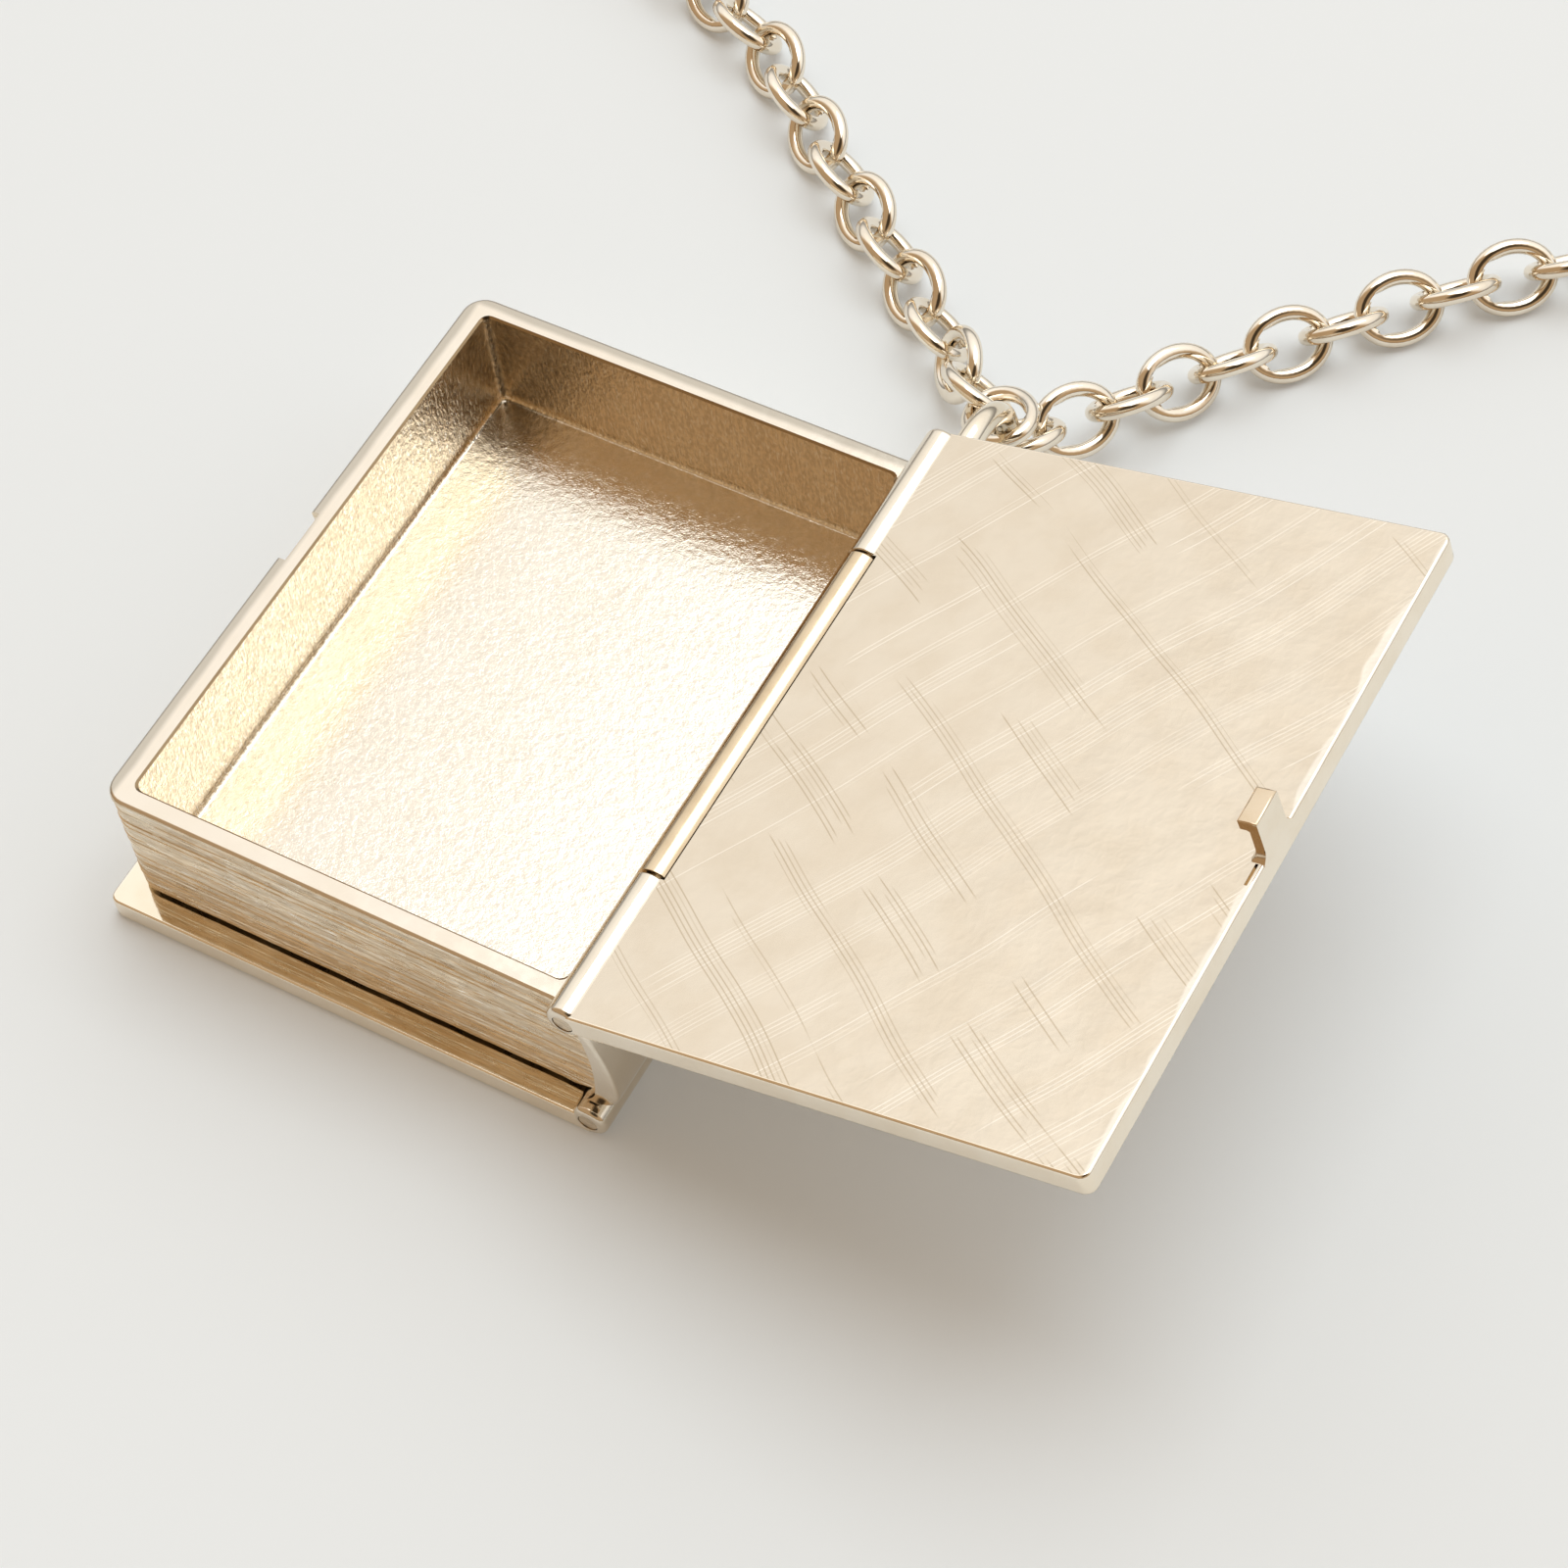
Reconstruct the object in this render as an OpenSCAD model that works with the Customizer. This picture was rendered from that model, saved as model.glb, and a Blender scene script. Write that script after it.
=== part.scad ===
// Book locket on a cable chain: a hinged metal book, lying open on its back cover.
// +Y is the head of the book with the bail, +X its spine, +Z up.
// The origin is under the middle of the back cover. All lengths are in mm.

/* [Covers] */
// Length of both covers, head to tail
book_l = 40; // [34:0.5:48]
// Distance from the hinge line to the fore edge of a cover
cover_reach = 29.8; // [24:0.2:36]
// Thickness of a cover plate
plate_t = 1.5; // [1.2:0.05:2]
// Corner radius of the covers at the fore edge
cover_corner_r = 0.6; // [0.3:0.1:2]
// How far the front cover stands open from its closed place, in degrees
open_angle = 165.5; // [90:0.5:168]

/* [Page case] */
// How far the covers reach past the page case at head and tail
end_overhang = 1.4; // [0.6:0.1:3]
// How far the covers reach past the page case at the fore edge
fore_overhang = 0.85; // [0.7:0.05:2]
// Height of the page case
case_h = 8.4; // [6:0.1:14]
// Width of the rim along the fore edge
rim_fore = 1.4; // [1.1:0.05:2.2]
// Width of the rim at head and tail
rim_end = 1.2; // [0.8:0.05:2.2]
// Distance from the hinge line to the spine wall of the hollow
rim_spine = 1.55; // [1.4:0.05:3]
// Thickness of the floor of the hollow
floor_t = 1.3; // [0.8:0.05:2.5]
// Radius of the upright corners of the page case
case_corner_r = 1.3; // [0.4:0.1:2]
// Radius of the outer edge of the rim
rim_edge_r = 0.25; // [0.2:0.05:0.7]
// Radius of the upright corners of the hollow
hollow_corner_r = 0.55; // [0.2:0.05:1.5]
// Number of page grooves on the outer faces
page_lines = 13; // [6:1:16]
// Depth of a page groove
page_groove_depth = 0.14; // [0.08:0.01:0.25]
// Height of a page groove
page_groove_h = 0.16; // [0.1:0.01:0.25]

/* [Spine] */
// How far the spine bulges out past the hinge line
spine_bulge = 1.8; // [1:0.05:3]
// Height of the fullest point of the spine above its foot
spine_belly_h = 1.75; // [1.2:0.05:4]
// How far the spine stands proud of the pages at head and tail
spine_proud = 0.7; // [0.2:0.05:1.3]
// How far the page edges bulge out past the hinge line inside the spine
page_round = 0.55; // [0.2:0.05:0.9]
// Radius of the rounded page edges at the spine
page_round_r = 14; // [9:0.5:30]
// Radius of the lower spine corner of the page edges
page_foot_r = 2; // [1:0.1:2.4]

/* [Hinges] */
// Outer diameter of the hinge knuckles
knuckle_d = 2.1; // [1.8:0.05:2.6]
// Length of the centre knuckle
centre_knuckle_l = 21.8; // [12:0.2:26]
// Diameter of the hinge pins
pin_d = 1.1; // [0.8:0.05:1.3]
// Depth of the upper pin's ends inside the barrel
upper_pin_inset = 0.05; // [0:0.05:1]
// Depth of the lower pin's ends inside the barrel
lower_pin_inset = 0.05; // [0:0.05:1]
// How far the lower barrel is cut back at the head, beside the bail ring
head_cut = 1.3; // [1.1:0.1:3]

/* [Latch] */
// Width of the hook along the fore edge
hook_w = 2.2; // [1.2:0.1:4]
// Height of the hook above the inner face of the cover
hook_h = 2.55; // [1.8:0.05:3]
// Thickness of the hook's stem
hook_stem_t = 0.58; // [0.4:0.02:0.65]
// How much wider the hook's foot is, to each side
hook_flare = 0.4; // [0.1:0.05:0.5]
// How far the barb stands in from the stem
hook_barb = 0.5; // [0.3:0.05:0.7]
// Length of the slit beside the hook
slit_l = 1.3; // [0.6:0.1:3]
// Distance of the slit from the fore edge of the cover
slit_inset = 0.3; // [0.2:0.05:1]
// Width and depth of the slit
slit_w = 0.16; // [0.1:0.02:0.3]
// Room beside the hook in the latch notch
notch_side_room = 0.6; // [0.3:0.05:1.5]

/* [Bail] */
// Outer diameter of the bail ring
bail_d = 8.85; // [8:0.05:9.6]
// Wire diameter of the bail ring
bail_wire = 1.45; // [1.1:0.05:1.7]
// How deep the bail ring is let into the head end of the page case
bail_seat = 0.2; // [0.1:0.05:0.5]
// Height of the bail ring above the table
bail_lift = 0.08; // [0:0.02:1]

/* [Chain] */
// Outer length of a chain link
link_l = 5.4; // [5.3:0.02:5.6]
// Outer width of a chain link
link_w = 4.4; // [4:0.05:4.8]
// Wire diameter of a chain link
link_wire = 0.9; // [0.7:0.02:0.92]
// Outer diameter of the clasp ring
clasp_d = 6.6; // [6:0.1:8]
// Wire diameter of the clasp ring
clasp_wire = 1.3; // [1:0.05:1.6]

/* [Clearances] */
// Gap between the back cover and the page case
under_gap = 0.3; // [0.15:0.05:0.6]
// Gap between the rim and the closed front cover
lid_gap = 0.1; // [0.05:0.05:0.4]
// Seam between two hinge knuckles
knuckle_gap = 0.15; // [0.08:0.01:0.4]
// Gap round a knuckle
barrel_gap = 0.15; // [0.1:0.01:0.3]
// Radial play of a hinge pin in its bore
pin_play = 0.03; // [0.01:0.01:0.08]
// Room round the closed hook in its notch
hook_gap = 0.3; // [0.15:0.05:0.6]
// Room between the bail ring and the back cover
bail_room = 0.4; // [0.2:0.05:0.8]
// Play between two links, short of the pulled chain
link_play = 0.17; // [0.14:0.01:0.3]
// Gap between the lying chain and the table
table_gap = 0.03; // [0:0.01:0.1]

/* [Hidden] */
$fn = 48;

gold = [0.86, 0.76, 0.6];
pale_gold = [0.93, 0.87, 0.76];
deep_gold = [0.78, 0.64, 0.43];

// Places that follow from the sizes
hinge_x = cover_reach / 2;
fore_x = -cover_reach / 2;
case_x = fore_x + fore_overhang;
case_l = book_l - 2 * end_overhang;
case_z = plate_t + under_gap;
rim_z = case_z + case_h;
floor_z = case_z + floor_t;
upper_z = rim_z + lid_gap + plate_t / 2;
lower_z = knuckle_d / 2;
barrel_room_r = knuckle_d / 2 + barrel_gap;
side_knuckle_l = (book_l - centre_knuckle_l) / 2 - knuckle_gap;
spine_l = case_l + 2 * spine_proud;

// Centres of the rounded page edges at the spine, and of their lower corner
round_x = hinge_x + page_round - page_round_r;
round_z = case_z + case_h * 0.46;
foot_z = case_z + page_foot_r;
foot_x = round_x + sqrt(pow(page_round_r, 2) - pow(round_z - foot_z, 2)) - page_foot_r;

// Arc of the spine: it runs up to the middle of the upper barrel's foot
spine_foot_z = lower_z + knuckle_d / 2;
spine_top_z = upper_z - knuckle_d / 2;
spine_belly_z = spine_foot_z + barrel_gap + spine_belly_h;
spine_rise = spine_top_z - spine_belly_z;
spine_r = (spine_rise * spine_rise + spine_bulge * spine_bulge) / (2 * spine_bulge);
spine_cx = hinge_x + spine_bulge - spine_r;

// Bail ring, upright on the hinge line
bail_r = (bail_d - bail_wire) / 2;
bail_x = hinge_x;
bail_y = case_l / 2 + bail_d / 2 - bail_seat;
bail_z = bail_d / 2 + bail_lift;

// Chain: half lengths of a link's centre line, and the height of a link lying at 45 degrees
link_a = (link_l - link_wire) / 2;
link_b = (link_w - link_wire) / 2;
lie_z = link_b * sin(45) + link_wire / 2 + table_gap;
// Distance between the centres of two links, a little short of a pulled chain
link_pitch = link_l - 2 * link_wire - link_play;
clasp_r = (clasp_d - clasp_wire) / 2;
clasp_z = clasp_r * sin(45) + clasp_wire / 2 + table_gap;
// Distance from the clasp's centre to the centre of the link that it holds
clasp_pitch = link_a + clasp_r - (link_wire + clasp_wire) / 2 - link_play;

// The chosen points of the chain's route: x and y from the middle of the bail ring, the height
// above a lying link, and the extra turn of the links in degrees
LEFT_ROUTE = [
    [-0.6, 4.1, 3.1, 36], [-3.55, 6.35, 1.85, -2], [-5.8, 8.45, 0.55, -12], [-8.4, 10.7, 0, 0],
    [-11.1, 12.8, 0, 0], [-16.6, 16.9, 0, 0], [-21.9, 20.9, 0, 0], [-27.3, 25.2, 0, 0],
    [-32.4, 28, 0, 0], [-50, 37, 0, 0], [-70, 52, 0, 0], [-85, 74, 0, 0], [-92, 102, 0, 0],
    [-90, 132, 0, 0], [-78, 162, 0, 0], [-56, 187, 0, 0], [-26, 201.5, 0.4, 0], [3, 204, 0.8, 0]
];
RIGHT_ROUTE = [
    [0.5, 4.3, 1.65, 14], [3.6, 8.35, 1.05, 1], [4.4, 9.55, 0.95, 4], [6.7, 13.4, 0.1, 0],
    [11.3, 18.9, 0, 0], [16, 24, 0, 0], [21, 28.8, 0, 0], [27.5, 34, 0, 0], [44, 46, 0, 0],
    [64, 61, 0, 0], [82, 82, 0, 0], [91, 108, 0, 0], [90, 136, 0, 0], [78, 165, 0, 0],
    [56, 187.5, 0, 0], [30, 201.5, 0.4, 0], [3, 204, 0.8, 0]
];
// Samples between two chosen points of a route
ROUTE_STEPS = 12;

// One point of a smooth curve through four chosen points
function curve_point(a, b, c, d, t) =
    0.5 * ((2 * b) + (c - a) * t + (2 * a - 5 * b + 4 * c - d) * t * t
           + (3 * b - a - 3 * c + d) * t * t * t);

// The sampled curve through a whole list of points
function route_curve(p) = [
    for (i = [0 : len(p) - 2], k = [0 : ROUTE_STEPS - 1])
        curve_point(p[max(i - 1, 0)], p[i], p[i + 1], p[min(i + 2, len(p) - 1)],
                    k / ROUTE_STEPS),
    p[len(p) - 1]
];

// Length of a curve up to each of its points
function run_lengths(c, i = 0, run = 0) =
    i == 0 ? concat([0], run_lengths(c, 1, 0))
    : i >= len(c) ? []
    : let (next = run + norm([for (k = [0 : 2]) c[i][k] - c[i - 1][k]]))
      concat([next], run_lengths(c, i + 1, next));

// One column of a curve as a lookup table over its length
function column(c, run, k) = [for (i = [0 : len(c) - 1]) [run[i], c[i][k]]];

// A flat outline in the XZ plane, run along Y
module along_y(length) {
    rotate([90, 0, 0]) linear_extrude(length, center = true) children();
}

// Rounded rectangle with all four corners of one radius
module round_rect(x0, x1, y0, y1, r) {
    union() {
        translate([x0 + r, y0]) square([x1 - x0 - 2 * r, y1 - y0]);
        translate([x0, y0 + r]) square([x1 - x0, y1 - y0 - 2 * r]);
        for (x = [x0 + r, x1 - r], y = [y0 + r, y1 - r]) translate([x, y]) circle(r = r);
    }
}

// Section of the page case across its length: flat fore edge, rounded towards the spine
module page_section() {
    intersection() {
        translate([case_x, case_z]) square([hinge_x + page_round - case_x, case_h]);
        union() {
            translate([case_x, case_z]) square([round_x - case_x, case_h]);
            translate([round_x, round_z]) circle(r = page_round_r, $fn = 96);
        }
        union() {
            translate([case_x, case_z]) square([foot_x - case_x, case_h]);
            translate([case_x, foot_z]) square([2 * cover_reach, case_h]);
            translate([foot_x, foot_z]) circle(r = page_foot_r);
        }
    }
}

// Section of the spine: a crescent that wraps round the lower corner of the page edges
module spine_section() {
    wrap_r = spine_belly_z - spine_foot_z;
    difference() {
        union() {
            intersection() {
                translate([hinge_x - 0.6, spine_belly_z])
                    square([spine_bulge + 1, spine_top_z - spine_belly_z + 0.3]);
                translate([spine_cx, spine_belly_z]) circle(r = spine_r, $fn = 96);
            }
            translate([hinge_x + spine_bulge - wrap_r, spine_belly_z]) circle(r = wrap_r);
        }
        page_section();
    }
}

// The page block with rounded rim edges and upright corners
module page_block() {
    r = rim_edge_r;
    intersection() {
        along_y(case_l) page_section();
        // rounded upper edge along the fore side
        along_y(case_l + 2) round_rect(case_x, hinge_x + case_h, case_z - case_h, rim_z, r);
        // rounded upper edges at head and tail
        translate([hinge_x, 0, 0]) rotate([90, 0, -90]) linear_extrude(cover_reach * 2, center = true)
            round_rect(-case_l / 2, case_l / 2, case_z - case_h, rim_z, r);
        // rounded upright corners at the fore edge
        translate([0, 0, case_z - 1]) linear_extrude(case_h + 2)
            round_rect(case_x, hinge_x + case_h, -case_l / 2, case_l / 2, case_corner_r);
    }
}

// Height of the middle of one page groove: uneven steps, like real page edges
function groove_z(i) =
    case_z + case_h * (i + 0.75 + 0.22 * sin(i * 137)) / (page_lines + 1.6);

// Page grooves round head, fore edge and tail
module page_grooves() {
    for (i = [0 : page_lines - 1]) {
        depth = page_groove_depth * (0.75 + 0.25 * cos(i * 97));
        translate([0, 0, groove_z(i) - page_groove_h / 2]) difference() {
            translate([case_x - 1, -case_l / 2 - 1, 0])
                cube([hinge_x - rim_spine - case_x + 1, case_l + 2, page_groove_h]);
            translate([case_x + depth, -case_l / 2 + depth, -1])
                cube([cover_reach, case_l - 2 * depth, page_groove_h + 2]);
        }
    }
}

// The open hollow of the page case
module hollow() {
    translate([0, 0, floor_z]) linear_extrude(case_h + 2)
        round_rect(case_x + rim_fore, hinge_x - rim_spine,
                   -case_l / 2 + rim_end, case_l / 2 - rim_end, hollow_corner_r);
}

// Notch in the fore wall that takes the hook
module latch_notch() {
    depth = hook_stem_t + hook_barb + hook_gap - fore_overhang;
    translate([case_x - 1, -hook_w / 2 - notch_side_room, rim_z - hook_h - hook_gap])
        cube([depth + 1, hook_w + 2 * notch_side_room, hook_h + hook_gap + 1]);
}

// A bar along Y at a hinge line
module hinge_bar(z, d, y0, y1) {
    translate([hinge_x, y1, z]) rotate([90, 0, 0]) cylinder(d = d, h = y1 - y0);
}

// Room in the page case for both outer knuckles of one hinge
module knuckle_room(z) {
    for (s = [-1, 1]) {
        inner = centre_knuckle_l / 2;
        outer = book_l / 2 + knuckle_gap;
        hinge_bar(z, 2 * barrel_room_r, min(s * inner, s * outer), max(s * inner, s * outer));
    }
}

// The case: page block, spine, centre knuckles and bail ring in one soldered piece
module page_case() {
    color(gold) difference() {
        union() {
            difference() {
                union() {
                    page_block();
                    along_y(spine_l) spine_section();
                }
                // room for the knuckles of both covers
                for (z = [upper_z, lower_z]) knuckle_room(z);
            }
            for (z = [upper_z, lower_z])
                hinge_bar(z, knuckle_d, -centre_knuckle_l / 2, centre_knuckle_l / 2);
            // web between the lower knuckle and the foot of the spine
            translate([hinge_x - knuckle_d / 4, 0, lower_z]) along_y(centre_knuckle_l)
                square([knuckle_d / 2, barrel_room_r + barrel_gap]);
            translate([bail_x, bail_y, bail_z]) rotate([0, 90, 0])
                rotate_extrude() translate([bail_r, 0]) circle(d = bail_wire);
        }
        hollow();
        latch_notch();
        page_grooves();
        for (z = [upper_z, lower_z])
            hinge_bar(z, pin_d + 2 * pin_play, -book_l, book_l);
    }
}

// A cover plate from the hinge line to its fore edge, along +X, with room for the centre knuckle.
// z0 is the height of its lower face over the hinge line.
module cover_plate(z0) {
    difference() {
        translate([0, 0, z0]) linear_extrude(plate_t) intersection() {
            round_rect(-2 * cover_corner_r, cover_reach, -book_l / 2, book_l / 2, cover_corner_r);
            translate([0, -book_l]) square([2 * cover_reach, 2 * book_l]);
        }
        translate([0, centre_knuckle_l / 2 + knuckle_gap, 0]) rotate([90, 0, 0])
            cylinder(r = barrel_room_r, h = centre_knuckle_l + 2 * knuckle_gap);
        translate([-1, -centre_knuckle_l / 2 - knuckle_gap, z0 - 1])
            cube([1 + knuckle_d / 4, centre_knuckle_l + 2 * knuckle_gap, plate_t + 2]);
    }
}

// Both side knuckles of a cover, about the Y axis
module cover_knuckles() {
    for (y = [book_l / 2, -book_l / 2 + side_knuckle_l]) translate([0, y, 0])
        rotate([90, 0, 0]) cylinder(d = knuckle_d, h = side_knuckle_l);
}

// Bore of a cover's knuckles, about the Y axis
module cover_bore() {
    translate([0, book_l, 0]) rotate([90, 0, 0])
        cylinder(d = pin_d + 2 * pin_play, h = 2 * book_l);
}

// The hook: a stem with a barb that points to the spine, on a wider foot
module latch_hook() {
    s = hook_stem_t;
    b = hook_barb;
    foot_w = hook_w / 2 + hook_flare;
    translate([cover_reach - s, 0, 0]) rotate([90, 0, 90]) linear_extrude(s) polygon([
        [-foot_w, 0], [foot_w, 0], [foot_w, plate_t / 2 + 0.05],
        [hook_w / 2 + hook_flare * 0.3, plate_t / 2 + hook_flare * 0.6],
        [hook_w / 2, plate_t / 2 + hook_flare * 1.7], [-hook_w / 2, plate_t / 2 + hook_flare * 1.7],
        [-hook_w / 2 - hook_flare * 0.3, plate_t / 2 + hook_flare * 0.6],
        [-foot_w, plate_t / 2 + 0.05]
    ]);
    translate([cover_reach, 0, plate_t / 2]) along_y(hook_w) polygon([
        [0, -plate_t / 2], [0, hook_h - 0.15], [-0.15, hook_h], [-s - b + 0.15, hook_h],
        [-s - b, hook_h - 0.15], [-s - b, hook_h * 0.74], [-s - 0.04, hook_h * 0.45],
        [-s, hook_h * 0.15], [-s - 0.18, 0], [-s - 0.18, -plate_t / 2]
    ]);
}

// Front cover, opened past upright so that it leans back over the spine
module front_cover() {
    color(pale_gold) translate([hinge_x, 0, upper_z]) rotate([0, open_angle - 180, 0]) difference() {
        union() {
            cover_plate(-plate_t / 2);
            cover_knuckles();
            latch_hook();
        }
        cover_bore();
        // short slit beside the hook
        translate([cover_reach - slit_inset - slit_w, -hook_w / 2 - hook_flare - slit_l,
                   plate_t / 2 - slit_w])
            cube([slit_w, slit_l, slit_w + 1]);
    }
}

// Back cover, lying flat under the page case
module back_cover() {
    color(pale_gold) translate([hinge_x, 0, lower_z]) rotate([0, 0, 180]) difference() {
        union() {
            cover_plate(-lower_z);
            cover_knuckles();
        }
        cover_bore();
        // corner cut back beside the bail ring
        translate([-knuckle_d, -book_l / 2 - 1, -knuckle_d])
            cube([knuckle_d + bail_wire / 2 + bail_room, head_cut + 1, 2 * knuckle_d]);
    }
}

// Hinge pins
module upper_pin() {
    color(deep_gold) hinge_bar(upper_z, pin_d, -book_l / 2 + upper_pin_inset,
                               book_l / 2 - upper_pin_inset);
}

module lower_pin() {
    color(deep_gold) hinge_bar(lower_z, pin_d, -book_l / 2 + lower_pin_inset,
                               book_l / 2 - head_cut - lower_pin_inset);
}

// One link in the XY plane, long along X: two half rings and two short sides
module oval_link() {
    side = 2 * (link_a - link_b);
    for (s = [0, 180]) rotate([0, 0, s]) {
        translate([side / 2, 0, 0]) rotate([0, 0, -90]) rotate_extrude(angle = 180)
            translate([link_b, 0]) circle(d = link_wire, $fn = 16);
        translate([-side / 2, link_b, 0]) rotate([0, 90, 0])
            cylinder(d = link_wire, h = side, $fn = 16);
    }
}

// Length of a strand's run of links, and how many steps of the pitch it takes
function strand_run(run) = run[len(run) - 1] - clasp_pitch;
function strand_steps(route) = ceil(strand_run(run_lengths(route_curve(route))) / link_pitch);

// Links along a route, each turned a quarter from the one before it. turn_over is a slow extra
// turn of the whole strand, in degrees, and the links rise as they stand up in it.
module strand(route, first_turn, turn_over = 0) {
    c = route_curve(route);
    run = run_lengths(c);
    steps = strand_steps(route);
    xs = column(c, run, 0);
    ys = column(c, run, 1);
    zs = column(c, run, 2);
    ts = column(c, run, 3);
    reach = link_pitch / 6;
    for (i = [0 : steps]) {
        s = strand_run(run) * i / steps;
        dx = lookup(s + reach, xs) - lookup(s - reach, xs);
        dy = lookup(s + reach, ys) - lookup(s - reach, ys);
        dz = lookup(s + reach, zs) - lookup(s - reach, zs);
        over = turn_over * i / steps;
        z = lie_z + lookup(s, zs) + link_b * (sin(45 + min(over, 90 - over)) - sin(45));
        translate([bail_x + lookup(s, xs), bail_y + lookup(s, ys), z])
            rotate([0, 0, atan2(dy, dx)]) rotate([0, -atan2(dz, norm([dx, dy])), 0])
            rotate([first_turn + 90 * i + over + lookup(s, ts), 0, 0]) oval_link();
    }
}

module chain_left() {
    color(gold) strand(LEFT_ROUTE, -45);
}

// The right strand turns over if the clasp would otherwise meet two links of unlike turn
module chain_right() {
    even = (strand_steps(LEFT_ROUTE) + strand_steps(RIGHT_ROUTE)) % 2 == 0;
    color(gold) strand(RIGHT_ROUTE, -45, even ? 90 : 0);
}

// The plain clasp ring at the back of the neck, a quarter turned from the last two links
module clasp() {
    last = LEFT_ROUTE[len(LEFT_ROUTE) - 1];
    turn = 45 + 90 * strand_steps(LEFT_ROUTE);
    color(gold) translate([bail_x + last[0], bail_y + last[1], clasp_z])
        rotate([turn, 0, 0]) rotate_extrude() translate([clasp_r, 0]) circle(d = clasp_wire);
}

page_case();
back_cover();
front_cover();
upper_pin();
lower_pin();
chain_left();
chain_right();
clasp();
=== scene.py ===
"""Book locket on a cable chain: its dressed pieces, the studio round it and the camera.

Pieces are modelled in millimetres, in the frame of the solids, and seated in metres.
"""
import logging
import math
from bisect import bisect_right
from contextlib import contextmanager
from dataclasses import dataclass, field
from enum import Enum
from typing import Any, Callable, Iterator, Sequence

import bmesh
import bpy
from mathutils import Matrix, Vector


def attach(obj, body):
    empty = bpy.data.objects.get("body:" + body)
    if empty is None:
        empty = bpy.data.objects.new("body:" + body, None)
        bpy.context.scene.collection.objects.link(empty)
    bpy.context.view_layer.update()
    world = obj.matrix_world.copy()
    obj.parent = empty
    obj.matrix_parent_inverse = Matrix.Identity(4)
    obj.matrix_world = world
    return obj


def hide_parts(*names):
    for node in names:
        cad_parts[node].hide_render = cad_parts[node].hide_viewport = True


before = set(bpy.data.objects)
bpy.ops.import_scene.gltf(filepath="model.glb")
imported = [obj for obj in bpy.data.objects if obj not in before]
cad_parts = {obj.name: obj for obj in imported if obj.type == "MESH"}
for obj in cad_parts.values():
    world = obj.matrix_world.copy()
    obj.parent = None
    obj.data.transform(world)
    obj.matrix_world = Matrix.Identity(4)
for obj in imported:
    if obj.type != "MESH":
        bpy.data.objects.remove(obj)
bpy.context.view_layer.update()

LOG = logging.getLogger("book_locket")
MM = 0.001
NEAR = 1e-3
FINE = 64
PLATE_ANGLE = 32.0
WIRE_ANGLE = 60.0

Colour = tuple[float, float, float]
Point = tuple[float, float, float]
Inputs = dict[str, Any]
Piece = bpy.types.Object
Material = bpy.types.Material
Socket = bpy.types.NodeSocket
Tree = bpy.types.NodeTree


class Select(Enum):
    """What an edit-mode selection picks."""

    VERTS = "VERT"
    EDGES = "EDGE"
    FACES = "FACE"


class Turn(Enum):
    """The way that a round primitive lies."""

    ALONG_X = (0.0, math.pi / 2, 0.0)
    ALONG_Y = (math.pi / 2, 0.0, 0.0)


class Cut(Enum):
    """How one solid works on another."""

    AWAY = "DIFFERENCE"
    TOGETHER = "UNION"


# Hand tools


def only(obj: Piece) -> None:
    """Make one object the only selected one, and the active one.

    Args:
        obj: The object to work on.
    """
    if bpy.context.object and bpy.context.object.mode != "OBJECT":
        bpy.ops.object.mode_set(mode="OBJECT")
    bpy.ops.object.select_all(action="DESELECT")
    obj.select_set(True)
    bpy.context.view_layer.objects.active = obj


def name_new(name: str) -> Piece:
    """Name the primitive that was just added, with its place and size put into its mesh.

    Args:
        name: Name of the object and its mesh.

    Returns:
        The new object.
    """
    obj = bpy.context.object
    obj.name = name
    obj.data.name = name
    only(obj)
    bpy.ops.object.transform_apply(location=True, rotation=True, scale=True)
    return obj


def block(name: str, low: Point, high: Point) -> Piece:
    """Add a cube between two corners.

    Args:
        name: Name of the object.
        low: Lowest corner in mm.
        high: Highest corner in mm.

    Returns:
        The new object.
    """
    size = [b - a for a, b in zip(low, high)]
    middle = [(a + b) / 2 for a, b in zip(low, high)]
    bpy.ops.mesh.primitive_cube_add(size=1, location=middle, scale=size)
    return name_new(name)


def rod(name: str, radius: float, low: float, high: float, x: float = 0.0, z: float = 0.0,
        sides: int = FINE) -> Piece:
    """Add a cylinder along Y.

    Args:
        name: Name of the object.
        radius: Radius in mm.
        low: Its lowest y.
        high: Its highest y.
        x: Where its axis lies.
        z: Height of its axis.
        sides: Number of its sides.

    Returns:
        The new object.
    """
    bpy.ops.mesh.primitive_cylinder_add(vertices=sides, radius=radius, depth=high - low,
                                        location=(x, (low + high) / 2, z),
                                        rotation=Turn.ALONG_Y.value)
    return name_new(name)


def ring(name: str, radius: float, wire: float, around: int, across: int, place: Point = (0, 0, 0),
         turn: Point = (0, 0, 0)) -> Piece:
    """Add a ring of round wire.

    Args:
        name: Name of the object.
        radius: Radius of the wire's middle line in mm.
        wire: Radius of the wire.
        around: Steps round the ring.
        across: Steps round the wire.
        place: The ring's middle.
        turn: Its turn.

    Returns:
        The new object.
    """
    bpy.ops.mesh.primitive_torus_add(major_segments=around, minor_segments=across,
                                     major_radius=radius, minor_radius=wire, location=place,
                                     rotation=turn)
    return name_new(name)


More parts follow.
